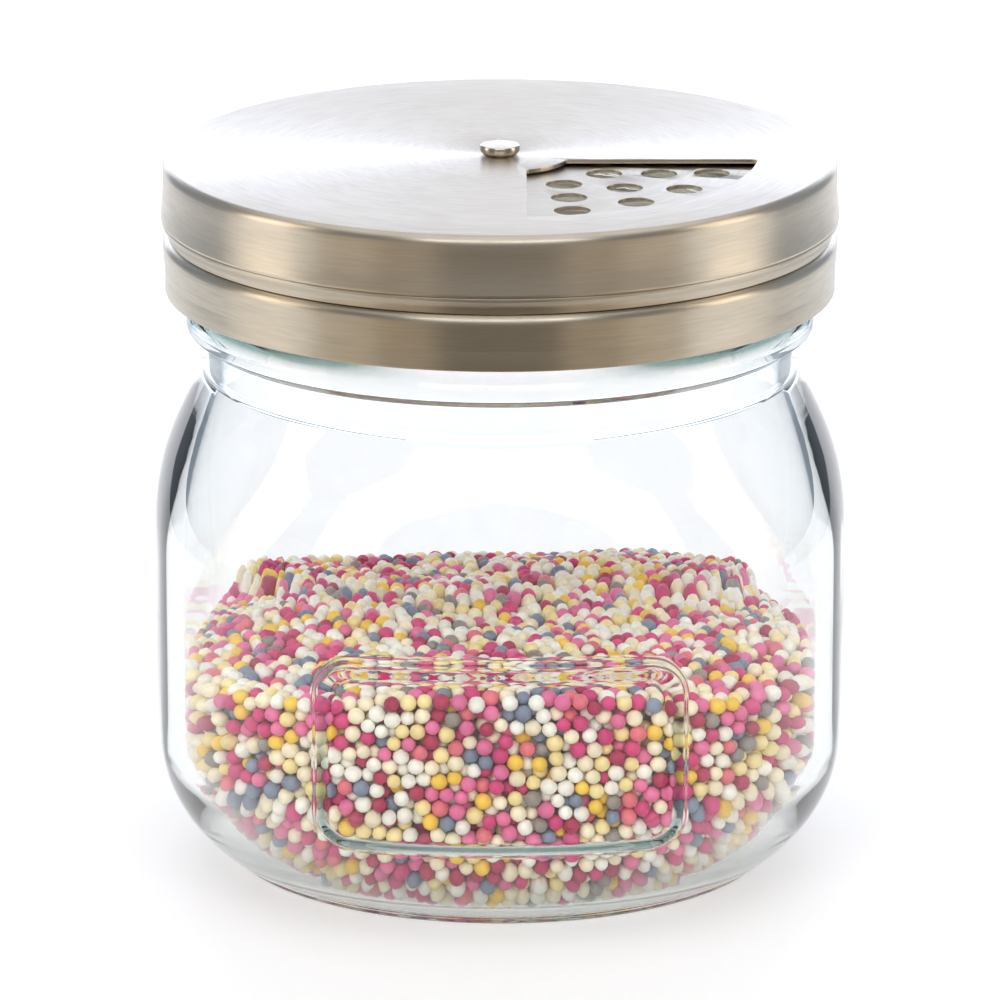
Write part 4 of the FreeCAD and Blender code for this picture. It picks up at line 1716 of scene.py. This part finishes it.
@dataclass
class Studio:
    """Pale floor, soft lights, cards that show in steel and glass, and the camera."""

    camera_stand: tuple[float, float, float] = (0.0, -1.012, 0.334)
    camera_aim: tuple[float, float, float] = (0.0, 0.0, 0.0437)
    focal_pixels: float = 8545.0
    frame_pixels: float = 1000.0
    sensor: float = 36.0
    nearest: float = 0.01
    farthest: float = 50.0
    floor_half: float = 6.0
    floor_tones: tuple[float, float] = (0.9, 0.93)
    floor_mottle: float = 6.0
    floor_roughness: float = 0.6
    floor_glow: float = 0.33
    sky: float = 0.22
    card_ground: float = 0.002
    brown_near: float = 0.06
    brown_far: float = 1.2
    brown_cards: tuple[tuple[float, str], ...] = ((62.0, "fdefda"), (40.0, "d0bea6"), (20.0, "7c715f"))
    grey_colour: str = "9aa3ab"
    grey_aside: float = 0.32
    grey_near: float = 0.05
    grey_far: float = 0.55
    grey_top: float = 0.45
    bounces: int = 24
    glass_bounces: int = 20
    mirror_bounces: int = 8
    matte_bounces: int = 5

    def build(self) -> None:
        """Lay the floor, set the cards, hang the lights and set the camera."""
        self.lay_floor()
        self.set_cards()
        self.hang_lights()
        self.set_camera()
        scene = bpy.context.scene
        scene.view_settings.view_transform = "Standard"
        scene.cycles.max_bounces = self.bounces
        scene.cycles.transmission_bounces = self.glass_bounces
        scene.cycles.glossy_bounces = self.mirror_bounces
        scene.cycles.diffuse_bounces = self.matte_bounces

    def hang_lights(self) -> None:
        """Hang the soft lights over, behind and beside the jar, in a pale sky."""
        back = {"width": 1.9, "height": 0.9, "power": 11.0, "colour": COOL}
        strip = {"width": 0.5, "height": 0.9, "power": 3.0, "colour": WARM, "lighting": False}
        fill = {"width": 0.8, "height": 0.8, "mirrored": False}
        for box in (
            Softbox("overhead", (0.0, 0.3, 1.6), width=2.4, height=2.0, power=12.5),
            Softbox("front top", (0.0, -1.2, 1.25), width=1.6, height=0.8, power=9.0, lighting=False),
            Softbox("middle back", (0.0, 1.7, 0.6), width=0.7, height=1.2, power=4.7, colour=COOL),
            Softbox("left back", (-1.1, 1.7, 0.45), **back),
            Softbox("right back", (1.1, 1.7, 0.45), **back),
            Softbox("left strip", (-1.15, -0.12, 0.45), **strip),
            Softbox("right strip", (1.15, -0.12, 0.45), **strip),
            Softbox("left fill", (-0.75, -1.1, 0.75), power=5.0, **fill),
            Softbox("right fill", (0.75, -1.1, 0.75), power=4.6, **fill),
        ):
            box.build()
        world = bpy.data.worlds.new("studio")
        bpy.context.scene.world = world
        world.use_nodes = True
        sky = world.node_tree.nodes["Background"]
        sky.inputs["Color"].default_value = WHITE
        sky.inputs["Strength"].default_value = self.sky

    def lay_floor(self) -> None:
        """Lay a pale floor, far larger than the frame, that glows a little like a light table."""
        deselect_all()
        bpy.ops.mesh.primitive_plane_add(size=2 * self.floor_half, location=(0, 0, 0))
        floor = bpy.context.object
        floor.name = "floor"
        recipe = Recipe("pale_floor")
        low, high = (toned(WHITE, tone) for tone in self.floor_tones)
        tone = recipe.ramp(recipe.noise(recipe.places(), self.floor_mottle), low, high)
        recipe.link(tone, recipe.shader.inputs["Base Color"])
        recipe.set(Roughness=self.floor_roughness, Emission_Color=WHITE, Emission_Strength=self.floor_glow)
        floor.data.materials.append(recipe.material)

    def set_cards(self) -> None:
        """Lay brown cards before the jar, for the steel, and stand grey ones beside it, for the glass."""
        near, far = self.brown_near, self.brown_far
        for step, (half_angle, colour) in enumerate(self.brown_cards):
            slope = math.tan(math.radians(half_angle))
            up = self.card_ground * (step + 1)
            corners = [(-near * slope, -near, up), (near * slope, -near, up),
                       (far * slope, -far, up), (-far * slope, -far, up)]
            self.card("brown_card", colour, corners, through_glass=False)
        for x in (-self.grey_aside, self.grey_aside):
            corners = [(x, self.grey_near, self.card_ground), (x, self.grey_far, self.card_ground),
                       (x, self.grey_far, self.grey_top), (x, self.grey_near, self.grey_top)]
            self.card("grey_card", self.grey_colour, corners, through_glass=True)

    @staticmethod
    def card(name: str, colour: str, corners: list[tuple[float, float, float]], through_glass: bool) -> None:
        """Set up a card that shows only in steel and glass.

        Args:
            name: its name.
            colour: its colour.
            corners: its four corners, in order.
            through_glass: whether the glass also bends light from it.
        """
        deselect_all()
        bpy.ops.mesh.primitive_circle_add(vertices=4, radius=1, fill_type="NGON")
        card = bpy.context.object
        card.name = name
        put_coordinates(card, np.array(corners))
        recipe = Recipe(name)
        base = linear(colour)
        mottle = recipe.noise(recipe.places(), CARD_MOTTLE, detail=1.0)
        recipe.link(recipe.ramp(mottle, toned(base, CARD_DEEPER), base), recipe.shader.inputs["Base Color"])
        recipe.set(Roughness=CARD_ROUGHNESS)
        card.data.materials.append(recipe.material)
        card.visible_camera = False
        card.visible_diffuse = False
        card.visible_shadow = False
        card.visible_transmission = through_glass

    def set_camera(self) -> None:
        """Set the camera at the viewing angle."""
        lens = bpy.data.cameras.new("camera")
        lens.sensor_width = self.sensor
        lens.lens = self.sensor * self.focal_pixels / self.frame_pixels
        lens.clip_start, lens.clip_end = self.nearest, self.farthest
        camera = bpy.data.objects.new("camera", lens)
        camera.location = self.camera_stand
        camera.rotation_euler = looking(self.camera_stand, self.camera_aim)
        bpy.context.scene.collection.objects.link(camera)
        bpy.context.scene.camera = camera


def main() -> None:
    """Build the jar, its sprinkles, its lid and the studio."""
    logging.basicConfig(level=logging.INFO, format="%(name)s: %(message)s")
    jar = GlassJar()
    jar.dress(jar.build())
    heap = SprinkleHeap(jar)
    heap.dress(heap.build(), heap.build_core())
    ShakerLid(ScrewCap(), SelectorCover(), CentreRivet()).build()
    Studio().build()


if __name__ == "__main__":
    main()
